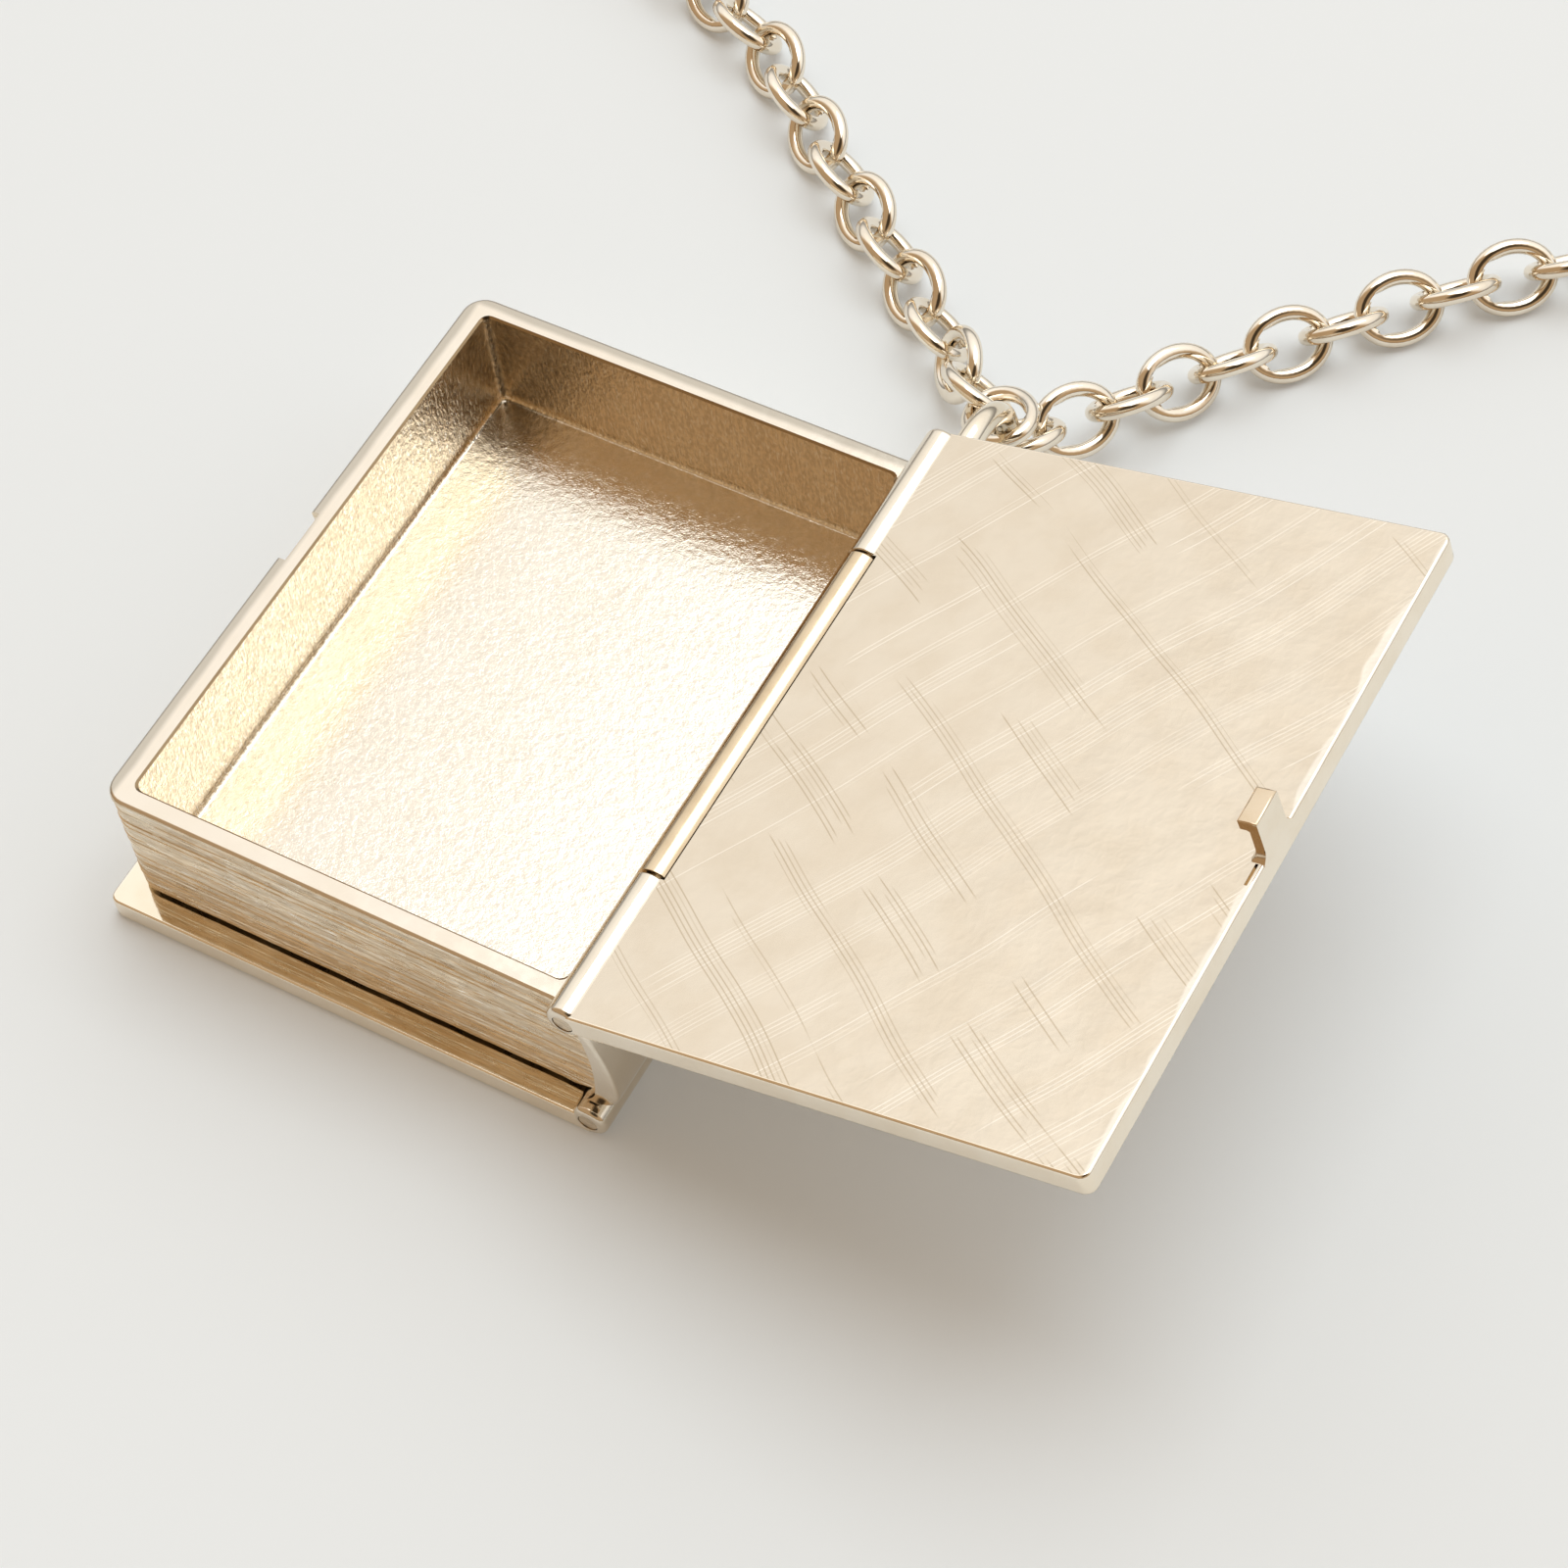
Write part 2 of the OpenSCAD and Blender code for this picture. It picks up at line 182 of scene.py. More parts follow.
@contextmanager
def picked(obj: Piece, kind: Select, test: Callable[..., bool]) -> Iterator[int]:
    """Hold an object in edit mode, with what passes a test selected.

    Args:
        obj: The object to edit.
        kind: What is selected in it.
        test: Is asked with a point's place, an edge's two ends or a face's middle and normal.

    Yields:
        How many points, edges or faces are selected.
    """
    only(obj)
    bpy.ops.object.mode_set(mode="EDIT")
    bpy.ops.mesh.select_mode(type=kind.value)
    bpy.ops.mesh.select_all(action="DESELECT")
    mesh = bmesh.from_edit_mesh(obj.data)
    if kind is Select.VERTS:
        found = [v for v in mesh.verts if test(v.co)]
    elif kind is Select.EDGES:
        found = [e for e in mesh.edges if test(e.verts[0].co, e.verts[1].co)]
    else:
        found = [f for f in mesh.faces if test(f.calc_center_median(), f.normal)]
    for part in found:
        part.select_set(True)
    if kind is Select.VERTS:
        mesh.select_flush(True)
    bmesh.update_edit_mesh(obj.data)
    try:
        yield len(found)
    finally:
        bpy.ops.object.mode_set(mode="OBJECT")


def bevel(obj: Piece, width: float, steps: int, test: Callable[[Vector, Vector], bool]) -> None:
    """Round the edges that pass a test.

    Args:
        obj: The object to work on.
        width: Width of the rounding in mm.
        steps: Number of faces across it.
        test: Says which edges are meant.
    """
    with picked(obj, Select.EDGES, test) as count:
        if count:
            bpy.ops.mesh.bevel(offset=width, segments=steps, profile=0.5, affect="EDGES")


def slice_at(obj: Piece, z: float) -> None:
    """Cut through all faces with a level plane."""
    with picked(obj, Select.FACES, lambda c, n: True):
        bpy.ops.mesh.bisect(plane_co=(0.0, 0.0, z), plane_no=(0.0, 0.0, 1.0), threshold=1e-4)


def shift(obj: Piece, test: Callable[[Vector], bool], way: Point) -> None:
    """Move the points that pass a test by a way in mm."""
    with picked(obj, Select.VERTS, test):
        bpy.ops.transform.translate(value=way)


def stretch(obj: Piece, test: Callable[[Vector], bool], share: Point, middle: Point) -> None:
    """Scale the points that pass a test, about a middle."""
    with picked(obj, Select.VERTS, test):
        bpy.ops.transform.resize(value=share, center_override=middle)


def work(obj: Piece, tool: Piece, how: Cut, keep: bool = False) -> None:
    """Let one solid cut or join another.

    Args:
        obj: The solid that changes.
        tool: The solid that works on it.
        how: What it does.
        keep: Whether the tool is needed again.
    """
    only(obj)
    step = obj.modifiers.new("solid", "BOOLEAN")
    step.operation = how.value
    step.solver = "EXACT"
    step.object = tool
    bpy.ops.object.modifier_apply(modifier=step.name)
    if not keep:
        bpy.data.objects.remove(tool)


def join(pieces: Sequence[Piece], name: str) -> Piece:
    """Make one object of several.

    Args:
        pieces: The objects to join.
        name: Name of the joined object.

    Returns:
        The joined object.
    """
    only(pieces[0])
    for piece in pieces:
        piece.select_set(True)
    bpy.ops.object.join()
    return name_new(name)


def seat(obj: Piece, place: Matrix = Matrix(), wire: bool = False) -> None:
    """Put a finished piece at its place in metres, inside its mesh, and smooth it.

    Args:
        obj: The finished piece, modelled in mm.
        place: Its place in mm.
        wire: Whether it is round wire, without flat faces.
    """
    only(obj)
    obj.matrix_world = Matrix.Scale(MM, 4) @ place
    bpy.ops.object.transform_apply(location=True, rotation=True, scale=True)
    angle = math.radians(WIRE_ANGLE if wire else PLATE_ANGLE)
    bpy.ops.object.shade_smooth_by_angle(angle=angle)
    if not wire:
        step = obj.modifiers.new("normals", "WEIGHTED_NORMAL")
        step.keep_sharp = True
        bpy.ops.object.modifier_apply(modifier=step.name)


# Node wiring


class Wiring:
    """Adds nodes to one tree and wires them."""

    def __init__(self, tree: Tree) -> None:
        """Keep the tree and clear it."""
        self.tree = tree
        tree.nodes.clear()

    def node(self, kind: str, inputs: Inputs | None = None, **settings: Any) -> bpy.types.Node:
        """Add a node, with its settings, its constants and its links.

        Args:
            kind: The node's type, without ShaderNode.
            inputs: A value or an output socket for each named or numbered input.
            **settings: Properties of the node.

        Returns:
            The new node.
        """
        made = self.tree.nodes.new("ShaderNode" + kind)
        for key, value in settings.items():
            setattr(made, key, value)
        for key, value in (inputs or {}).items():
            socket = made.inputs[int(key) if key.isdigit() else key]
            if isinstance(value, Socket):
                self.tree.links.new(value, socket)
            else:
                socket.default_value = value
        return made

    def link(self, value: Socket, socket: Socket) -> None:
        """Wire a value to a socket."""
        self.tree.links.new(value, socket)

    def calc(self, how: str, a: Any, b: Any = 0.0) -> Socket:
        """Combine two numbers with a named operation."""
        return self.node("Math", {"0": a, "1": b}, operation=how).outputs[0]

    def sum(self, a: Any, b: Any) -> Socket:
        """Add two numbers."""
        return self.calc("ADD", a, b)

    def minus(self, a: Any, b: Any) -> Socket:
        """Take the second number from the first."""
        return self.calc("SUBTRACT", a, b)

    def times(self, a: Any, b: Any) -> Socket:
        """Multiply two numbers."""
        return self.calc("MULTIPLY", a, b)

    def over(self, a: Any, b: Any) -> Socket:
        """Divide the first number by the second."""
        return self.calc("DIVIDE", a, b)

    def spread(self, value: Any, low: float, high: float, to_low: Any = 0.0,
               to_high: Any = 1.0) -> Socket:
        """Map a range smoothly onto another.

        Args:
            value: The value's socket.
            low: Start of the range.
            high: End of the range.
            to_low: What its start becomes.
            to_high: What its end becomes.

        Returns:
            The result's socket.
        """
        made = self.node("MapRange", {"Value": value, "From Min": low, "From Max": high,
                                      "To Min": to_low, "To Max": to_high},
                         interpolation_type="SMOOTHSTEP")
        return made.outputs["Result"]

    def noise(self, vector: Any, scale: Any, detail: float = 2.0, rough: float = 0.5) -> Socket:
        """Add soft noise.

        Args:
            vector: Where it is read, in mm.
            scale: Its scale.
            detail: How many finer layers it has.
            rough: How strong they are.

        Returns:
            The noise's value.
        """
        made = self.node("TexNoise", {"Vector": vector, "Scale": scale, "Detail": detail,
                                      "Roughness": rough})
        return made.outputs["Fac"]

    def chance(self, number: Any) -> Any:
        """Give the outputs of a random value for a number."""
        return self.node("TexWhiteNoise", {"W": number}, noise_dimensions="1D").outputs

    def blend(self, share: Any, a: Any, b: Any) -> Socket:
        """Mix a share of a second colour into a first."""
        return self.node("Mix", {"0": share, "6": a, "7": b}, data_type="RGBA").outputs[2]

    def axes(self, vector: Any) -> Any:
        """Give the X, Y and Z of a place."""
        return self.node("SeparateXYZ", {"Vector": vector}).outputs

    def place(self, x: Any, y: Any, z: Any) -> Socket:
        """Give the place with an X, a Y and a Z."""
        return self.node("CombineXYZ", {"X": x, "Y": y, "Z": z}).outputs[0]

    def stretch(self, vector: Any, scale: Point) -> Socket:
        """Scale a place along its axes."""
        return self.node("VectorMath", {"0": vector, "1": scale}, operation="MULTIPLY").outputs[0]

    def along(self, vector: Any, way: Any) -> Socket:
        """Measure how far a place lies along a way."""
        made = self.node("VectorMath", {"0": vector, "1": way}, operation="DOT_PRODUCT")
        return made.outputs["Value"]


class Effect(Enum):
    """Names of the shared shader groups."""

    TONE = "gold_tone"
    RIPPLE = "plate_ripple"
    HATCH = "scratched_hatching"
    STROKES = "page_strokes"
    STRIP = "edge_strip"


class Effects:
    """The shared shader groups, each built once."""

    def __init__(self) -> None:
        """Build every group."""
        self.groups = {
            Effect.TONE: self.tone(),
            Effect.RIPPLE: self.ripple(),
            Effect.HATCH: self.hatch(),
            Effect.STROKES: self.strokes(),
            Effect.STRIP: self.strip(),
        }

    def use(self, w: Wiring, effect: Effect, inputs: Inputs) -> Any:
        """Place a shared group in a material, with its own values, and give its outputs."""
        return w.node("Group", inputs, node_tree=self.groups[effect]).outputs

    @staticmethod
    def start(effect: Effect, numbers: Inputs, outputs: Sequence[str],
              colours: Sequence[str] = (), ways: Sequence[str] = ()) -> tuple[Wiring, Any, Any]:
        """Start a group with named sockets.

        Args:
            effect: The effect that it makes.
            numbers: Name and usual value of each input that is a number.
            outputs: Names of its outputs, of which the one named Color is a colour.
            colours: Names of the inputs that are colours.
            ways: Names of the inputs that are vectors, after the place itself.

        Returns:
            The group's wiring, its input node's outputs and its output node's inputs.
        """
        tree = bpy.data.node_groups.new(effect.value, "ShaderNodeTree")
        for kind, names in (("Vector", ("Vector", *ways)), ("Color", colours),
                            ("Float", numbers)):
            for name in names:
                socket = tree.interface.new_socket(name, in_out="INPUT",
                                                   socket_type="NodeSocket" + kind)
                if kind == "Float":
                    socket.default_value = numbers[name]
        for name in outputs:
            kind = "Color" if name == "Color" else "Float"
            tree.interface.new_socket(name, in_out="OUTPUT", socket_type="NodeSocket" + kind)
        wiring = Wiring(tree)
        source = tree.nodes.new("NodeGroupInput")
        target = tree.nodes.new("NodeGroupOutput")
        return wiring, source.outputs, target.inputs

    def tone(self) -> Tree:
        """Build soft patches of deeper gold, with a fine grain.

        Returns:
            The group.
        """
        w, given, out = self.start(
            Effect.TONE, {"Patch": 0.2, "Amount": 0.5, "Smooth": 0.1, "Dull": 0.2},
            ("Color", "Roughness"), colours=("Light", "Deep"))
        patch = w.noise(given["Vector"], given["Patch"], 3.0, 0.55)
        grain = w.noise(given["Vector"], 9.0, 1.0)
        both = w.times(w.spread(patch, 0.35, 0.68), w.spread(grain, 0.3, 0.7, 0.8))
        w.link(w.blend(w.times(both, given["Amount"]), given["Light"], given["Deep"]),
               out["Color"])
        rough = w.noise(given["Vector"], w.times(given["Patch"], 3.1), 4.0, 0.6)
        w.link(w.spread(rough, 0.35, 0.7, given["Smooth"], given["Dull"]), out["Roughness"])
        return w.tree

    def ripple(self) -> Tree:
        """Build the uneven swell of a hand-finished plate.

        Returns:
            The group, whose height is in mm.
        """
        w, given, out = self.start(
            Effect.RIPPLE, {"Scale": 0.4, "Height": 0.01, "Pucker": 0.0, "Calm": 1.0},
            ("Height",))
        swell = w.noise(given["Vector"], given["Scale"], 1.5, 0.45)
        strength = w.spread(w.axes(given["Vector"])["X"], 8.0, 24.0, given["Calm"])
        crease = w.noise(given["Vector"], w.times(given["Scale"], 2.7))
        ridge = w.calc("ABSOLUTE", w.minus(crease, 0.5))
        total = w.minus(swell, w.times(ridge, given["Pucker"]))
        w.link(w.times(w.times(total, given["Height"]), strength), out["Height"])
        return w.tree

    def hatch(self) -> Tree:
        """Build short groups of fine scratched lines that run one way.

        Returns:
            The group.
        """
        w, given, out = self.start(
            Effect.HATCH,
            {"Angle": 0.0, "Pitch": 0.25, "Band": 3.0, "Length": 12.0, "Cover": 0.5},
            ("Lines",))
        turned = w.node("VectorRotate", {
            "Vector": given["Vector"], "Angle": w.times(given["Angle"], -1.0)},
            rotation_type="Z_AXIS").outputs[0]
        flat = w.axes(turned)
        sway = w.noise(w.stretch(turned, (0.06, 0.02, 0.0)), 1.0, 1.0)
        across = w.sum(flat["Y"], w.times(sway, 2.0))
        band = w.over(across, given["Band"])
        number = w.calc("FLOOR", band)
        chance = w.chance(w.sum(number, given["Angle"]))
        share = w.minus(w.minus(band, number), 0.5)
        off = w.times(w.minus(chance["Value"], 0.5), 0.5)
        away = w.times(w.calc("ABSOLUTE", w.minus(share, off)), given["Band"])
        tint = w.node("SeparateColor", {"Color": chance["Color"]}).outputs
        reach = w.spread(tint["Green"], 0.0, 1.0, 0.25, 0.75)
        inside = w.spread(w.minus(reach, away), -0.02, 0.02)
        half = w.times(given["Pitch"], 0.5)
        tooth = w.over(w.calc("PINGPONG", across, half), half)
        line = w.spread(tooth, 0.45, 0.1)
        lane = w.calc("FLOOR", w.sum(w.over(across, given["Pitch"]), 0.5))
        each = w.chance(lane)["Value"]
        cell = w.place(w.over(flat["X"], given["Length"]), w.times(number, 3.7), given["Angle"])
        length = w.sum(w.noise(cell, 1.6, 0.0), w.times(each, 0.13))
        gate = w.spread(w.sum(length, given["Cover"]), 1.05, 1.09)
        force = w.spread(each, 0.0, 1.0, 0.45, 1.25)
        w.link(w.times(w.times(w.times(line, inside), gate), force), out["Lines"])
        return w.tree

    def strip(self) -> Tree:
        """Build the mask of an uneven strip of painted light along one edge, which begins at a
        distance from the middle.

        Returns:
            The group.
        """
        w, given, out = self.start(
            Effect.STRIP, {"Start": 29.3, "Sway": 1.5, "Soft": 0.15}, ("Mask",), ways=("Way",))
        sway = w.minus(w.noise(given["Vector"], 0.22), 0.5)
        edge = w.sum(w.along(given["Vector"], given["Way"]), w.times(sway, given["Sway"]))
        place = w.minus(edge, given["Start"])
        w.link(w.spread(w.over(place, given["Soft"]), -1.0, 1.0), out["Mask"])
        return w.tree

    def strokes(self) -> Tree:
        """Build the fine uneven level strokes of page edges.

        Returns:
            The group.
        """
        w, given, out = self.start(
            Effect.STROKES, {"Pitch": 0.22, "Length": 6.0}, ("Strokes", "Shade", "Glint"))
        flat = w.axes(given["Vector"])
        cell = w.place(w.over(flat["X"], given["Length"]), w.over(flat["Y"], given["Length"]),
                       w.over(flat["Z"], given["Pitch"]))
        fine = w.noise(cell, 1.0, 2.0, 0.55)
        broad = w.noise(w.stretch(cell, (1.7, 1.7, 0.35)), 1.0, 1.0)
        dash = w.noise(w.stretch(cell, (1.9, 1.9, 0.8)), 1.0, 0.0)
        w.link(w.spread(dash, 0.66, 0.72), out["Glint"])
        w.link(w.spread(fine, 0.36, 0.62), out["Strokes"])
        w.link(w.spread(w.sum(fine, w.times(broad, 0.6)), 0.62, 0.98), out["Shade"])
        return w.tree


@dataclass(frozen=True)
class Ripple:
    """An uneven swell: its scale per mm, its height in mm, how creased it is, and how much of
    it there is near the hinge."""

    scale: float
    height: float
    pucker: float = 0.0
    calm: float = 1.0


@dataclass(frozen=True)
class Hatch:
    """Groups of scratched lines one way: angle in degrees, depth in mm, tint and how strong it
    is, and the rest in mm. The tint is painted light: lighter as a highlight, darker as shade."""

    angle: float
    depth: float
    tint: Colour
    band: float
    length: float
    cover: float
    shade: float
    pitch: float = 0.25


@dataclass(frozen=True)
class Strokes:
    """Fine strokes: pitch and length in mm, depth in mm, how dark they are, and how bright the
    few light dashes between them are."""

    pitch: float
    length: float
    depth: float
    shade: float
    glint: float = 0.0


@dataclass(frozen=True)
class PaintedStrip:
    """A strip along an edge whose tint is painted light, a highlight where it is lighter and shade
    where it is darker: the way to the edge, where it begins and how much it sways and blurs in mm, and
    its tint."""

    way: Point
    start: float
    sway: float
    soft: float
    tint: Colour


@dataclass(frozen=True)
class Gold:
    """One gold finish: its tones, its gloss, what is worked into it, and the light and shade painted
    on it.
    """

    name: str
    light: Colour
    deep: Colour
    amount: float
    patch: float
    smooth: float
    dull: float
    ripple: Ripple | None = None
    hatches: tuple[Hatch, ...] = ()
    strokes: Strokes | None = None
    painted_strips: tuple[PaintedStrip, ...] = ()
    place: Point = (0.0, 0.0, 0.0)
    lean: float = 0.0
    groove: float = 0.42
    glint: Colour = (1.0, 0.96, 0.88)

    def material(self, effects: Effects) -> Material:
        """Build the material.

        Args:
            effects: The shared groups.

        Returns:
            The material.
        """
        made = bpy.data.materials.new(self.name)
        made.use_nodes = True
        w = Wiring(made.node_tree)
        local = w.node("Mapping", {
            "Vector": w.node("TexCoord").outputs["Object"],
            "Location": [v * MM for v in self.place],
            "Rotation": (0.0, math.radians(self.lean), 0.0), "Scale": (MM, MM, MM)},
            vector_type="TEXTURE").outputs[0]
        tone = effects.use(w, Effect.TONE, {
            "Vector": local, "Patch": self.patch, "Light": (*self.light, 1.0),
            "Deep": (*self.deep, 1.0), "Amount": self.amount, "Smooth": self.smooth,
            "Dull": self.dull})
        colour = tone["Color"]
        heights = []
        if self.ripple:
            heights.append(effects.use(w, Effect.RIPPLE, {
                "Vector": local, "Scale": self.ripple.scale, "Height": self.ripple.height,
                "Pucker": self.ripple.pucker, "Calm": self.ripple.calm})["Height"])
        # Each hatch's lines are tinted with their painted highlight or painted shade.
        for hatch in self.hatches:
            lines = effects.use(w, Effect.HATCH, {
                "Vector": local, "Angle": math.radians(hatch.angle), "Pitch": hatch.pitch,
                "Band": hatch.band, "Length": hatch.length, "Cover": hatch.cover})["Lines"]
            heights.append(w.times(lines, -hatch.depth))
            colour = w.blend(w.times(lines, hatch.shade), colour, (*hatch.tint, 1.0))
        # Strips of painted light: a lighter tint is a painted highlight, a darker one painted shade.
        for strip in self.painted_strips:
            mask = effects.use(w, Effect.STRIP, {
                "Vector": local, "Way": strip.way, "Start": strip.start, "Sway": strip.sway,
                "Soft": strip.soft})["Mask"]
            colour = w.blend(mask, colour, (*strip.tint, 1.0))
        if self.strokes:
            marks = effects.use(w, Effect.STROKES, {
                "Vector": local, "Pitch": self.strokes.pitch, "Length": self.strokes.length})
            heights.append(w.times(marks["Strokes"], -self.strokes.depth))
            colour = w.blend(w.times(marks["Shade"], self.strokes.shade), colour,
                             (*[self.groove * v for v in self.deep], 1.0))
            colour = w.blend(w.times(marks["Glint"], self.strokes.glint), colour,
                             (*self.glint, 1.0))
        inputs: Inputs = {"Base Color": colour, "Metallic": 1.0, "Roughness": tone["Roughness"]}
        if heights:
            total = heights[0]
            for height in heights[1:]:
                total = w.sum(total, height)
            inputs["Normal"] = w.node("Bump", {"Height": total, "Distance": MM,
                                               "Strength": 1.0}).outputs[0]
        shader = w.node("BsdfPrincipled", inputs)
        w.node("OutputMaterial", {"Surface": shader.outputs[0]})
        return made


PALE = (0.71, 0.615, 0.485)
GOLD = (0.66, 0.53, 0.37)
DEEP = (0.50, 0.34, 0.18)
BRIGHT = (0.77, 0.695, 0.595)
# Painted shade for the rounded outer edge of the rim.
SLOPE_SHADE = (0.50, 0.45, 0.375)

# The 56 degree lines are painted lighter as a highlight, the -35 degree lines darker as shade.
COVER_HATCH = (
    Hatch(56.0, 0.0015, (0.95, 0.88, 0.77), band=2.7, length=22.0, cover=0.58, shade=0.5),
    Hatch(-35.0, 0.002, (0.42, 0.32, 0.20), band=3.3, length=14.0, cover=0.53, shade=0.45))
# Painted light: the covers' side edges and the hook's fore face get a lighter copy of the cover gold,
# for the light that they catch.
EDGE = Gold("cover_edge_lit_gold", (0.93, 0.84, 0.70), (0.85, 0.73, 0.56), 0.5, 0.4, 0.1, 0.2,
            Ripple(0.6, 0.012))
# Painted highlight: the inner rounding along the front cover's fore edge gets a near-white gold.
FORE_HIGHLIGHT = Gold("fore_edge_highlight_gold", (0.92, 0.86, 0.76), (0.78, 0.67, 0.52), 0.9, 0.3, 0.1, 0.2,
            Ripple(0.5, 0.012))
HOOK = Gold("hook_gold", (0.73, 0.60, 0.44), (0.66, 0.51, 0.34), 0.6, 0.8, 0.1, 0.2,
            Ripple(0.9, 0.012))
# The cream strip along the fore edge of the front cover's face is a painted highlight.
FRONT_FACE = Gold("front_cover_gold", (0.755, 0.665, 0.54), (0.68, 0.575, 0.44), 0.5, 0.3, 0.1,
                  0.18, Ripple(0.42, 0.1, 0.45, 0.3), COVER_HATCH,
                  painted_strips=(PaintedStrip((1.0, 0.0, 0.0), 29.45, 1.6, 0.1, (0.88, 0.80, 0.69)),),
                  place=(14.9, 0.0, 11.05), lean=-14.5)
BACK_FACE = Gold("back_cover_gold", (0.82, 0.74, 0.60), (0.72, 0.60, 0.42), 0.6, 0.22, 0.03,
                 0.08, Ripple(0.35, 0.01, 0.3), place=(14.9, 0.0, 1.05))
BARREL = Gold("barrel_gold", (0.80, 0.72, 0.60), PALE, 0.4, 0.5, 0.1, 0.2, Ripple(0.8, 0.01))
DEEP_BARREL = Gold("centre_barrel_gold", (0.72, 0.58, 0.40), DEEP, 0.4, 0.4, 0.12, 0.24,
                   Ripple(0.8, 0.01))
PAGES = Gold("page_edge_gold", (0.97, 0.85, 0.67), (0.87, 0.71, 0.50), 0.5, 0.3, 0.26, 0.4,
             strokes=Strokes(0.09, 2.2, 0.014, 0.32, 0.75))
# The rim's two strips, at its fore and head edges, are painted shade on its rounding.
RIM = Gold("rim_gold", BRIGHT, (0.74, 0.65, 0.53), 0.5, 0.3, 0.1, 0.18, Ripple(0.5, 0.01),
           painted_strips=(PaintedStrip((-1.0, 0.0, 0.0), 13.42, 0.3, 0.2, SLOPE_SHADE),
                   PaintedStrip((0.0, 1.0, 0.0), 17.97, 0.3, 0.2, SLOPE_SHADE)))
# Painted shade: the dark gold of the hollow's lip and of the front cover's slit.
RECESS_SHADE = Gold("recess_shade_gold", (0.40, 0.29, 0.17), (0.30, 0.20, 0.11), 0.5, 0.5, 0.1, 0.2)
WALLS = Gold("hollow_wall_gold", (0.98, 0.87, 0.69), (0.93, 0.765, 0.555), 0.5, 0.3, 0.08, 0.16,
             Ripple(2.4, 0.03, 1.0), strokes=Strokes(0.4, 0.22, 0.014, 0.36, 0.9))
FLOOR = Gold("hollow_floor_gold", BRIGHT, (0.73, 0.645, 0.53), 0.5, 0.5, 0.1, 0.18,
             Ripple(2.4, 0.02, 1.0), strokes=Strokes(0.3, 0.3, 0.003, 0.1))
SPINE = Gold("spine_gold", (0.84, 0.76, 0.64), PALE, 0.5, 0.25, 0.08, 0.18, Ripple(0.4, 0.012))
BAIL = Gold("bail_gold", (0.86, 0.78, 0.65), (0.75, 0.64, 0.48), 0.5, 0.5, 0.06, 0.14,
            Ripple(0.7, 0.01))
CHAIN = Gold("chain_gold", (0.87, 0.79, 0.67), (0.75, 0.64, 0.50), 0.6, 0.35, 0.04, 0.12,
             Ripple(0.8, 0.012))
PIN = Gold("pin_gold", (0.80, 0.70, 0.55), GOLD, 0.6, 0.8, 0.3, 0.45,
           strokes=Strokes(0.1, 0.8, 0.004, 0.3))
FINISHES = (FRONT_FACE, BACK_FACE, EDGE, FORE_HIGHLIGHT, HOOK, BARREL, DEEP_BARREL, PAGES, RIM, WALLS,
            FLOOR, RECESS_SHADE, SPINE, BAIL, CHAIN, PIN)
COVER_EDGES = ("cover_edge_lit_gold", "barrel_gold", "fore_edge_highlight_gold", "hook_gold", "recess_shade_gold")


def dress(obj: Piece, materials: Sequence[Material],
          choose: Callable[[Vector, Vector], int] | None = None) -> None:
    """Give a piece its materials, face by face if asked.

    Args:
        obj: The piece, before it is seated.
        materials: Its materials.
        choose: Gives the material's number for a face's middle and normal.
    """
    obj.data.materials.clear()
    for material in materials:
        obj.data.materials.append(material)
    for face in obj.data.polygons:
        face.material_index = choose(face.center, face.normal) if choose else 0


# Pieces


@dataclass
class Hinge:
    """The sizes that both hinges share, in mm."""

    x: float = 14.9
    upper_z: float = 11.05
    lower_z: float = 1.05
    radius: float = 1.05
    room: float = 1.2
    bore: float = 0.58
    bore_sides: int = 40
    centre_half: float = 10.9
    seam: float = 0.15


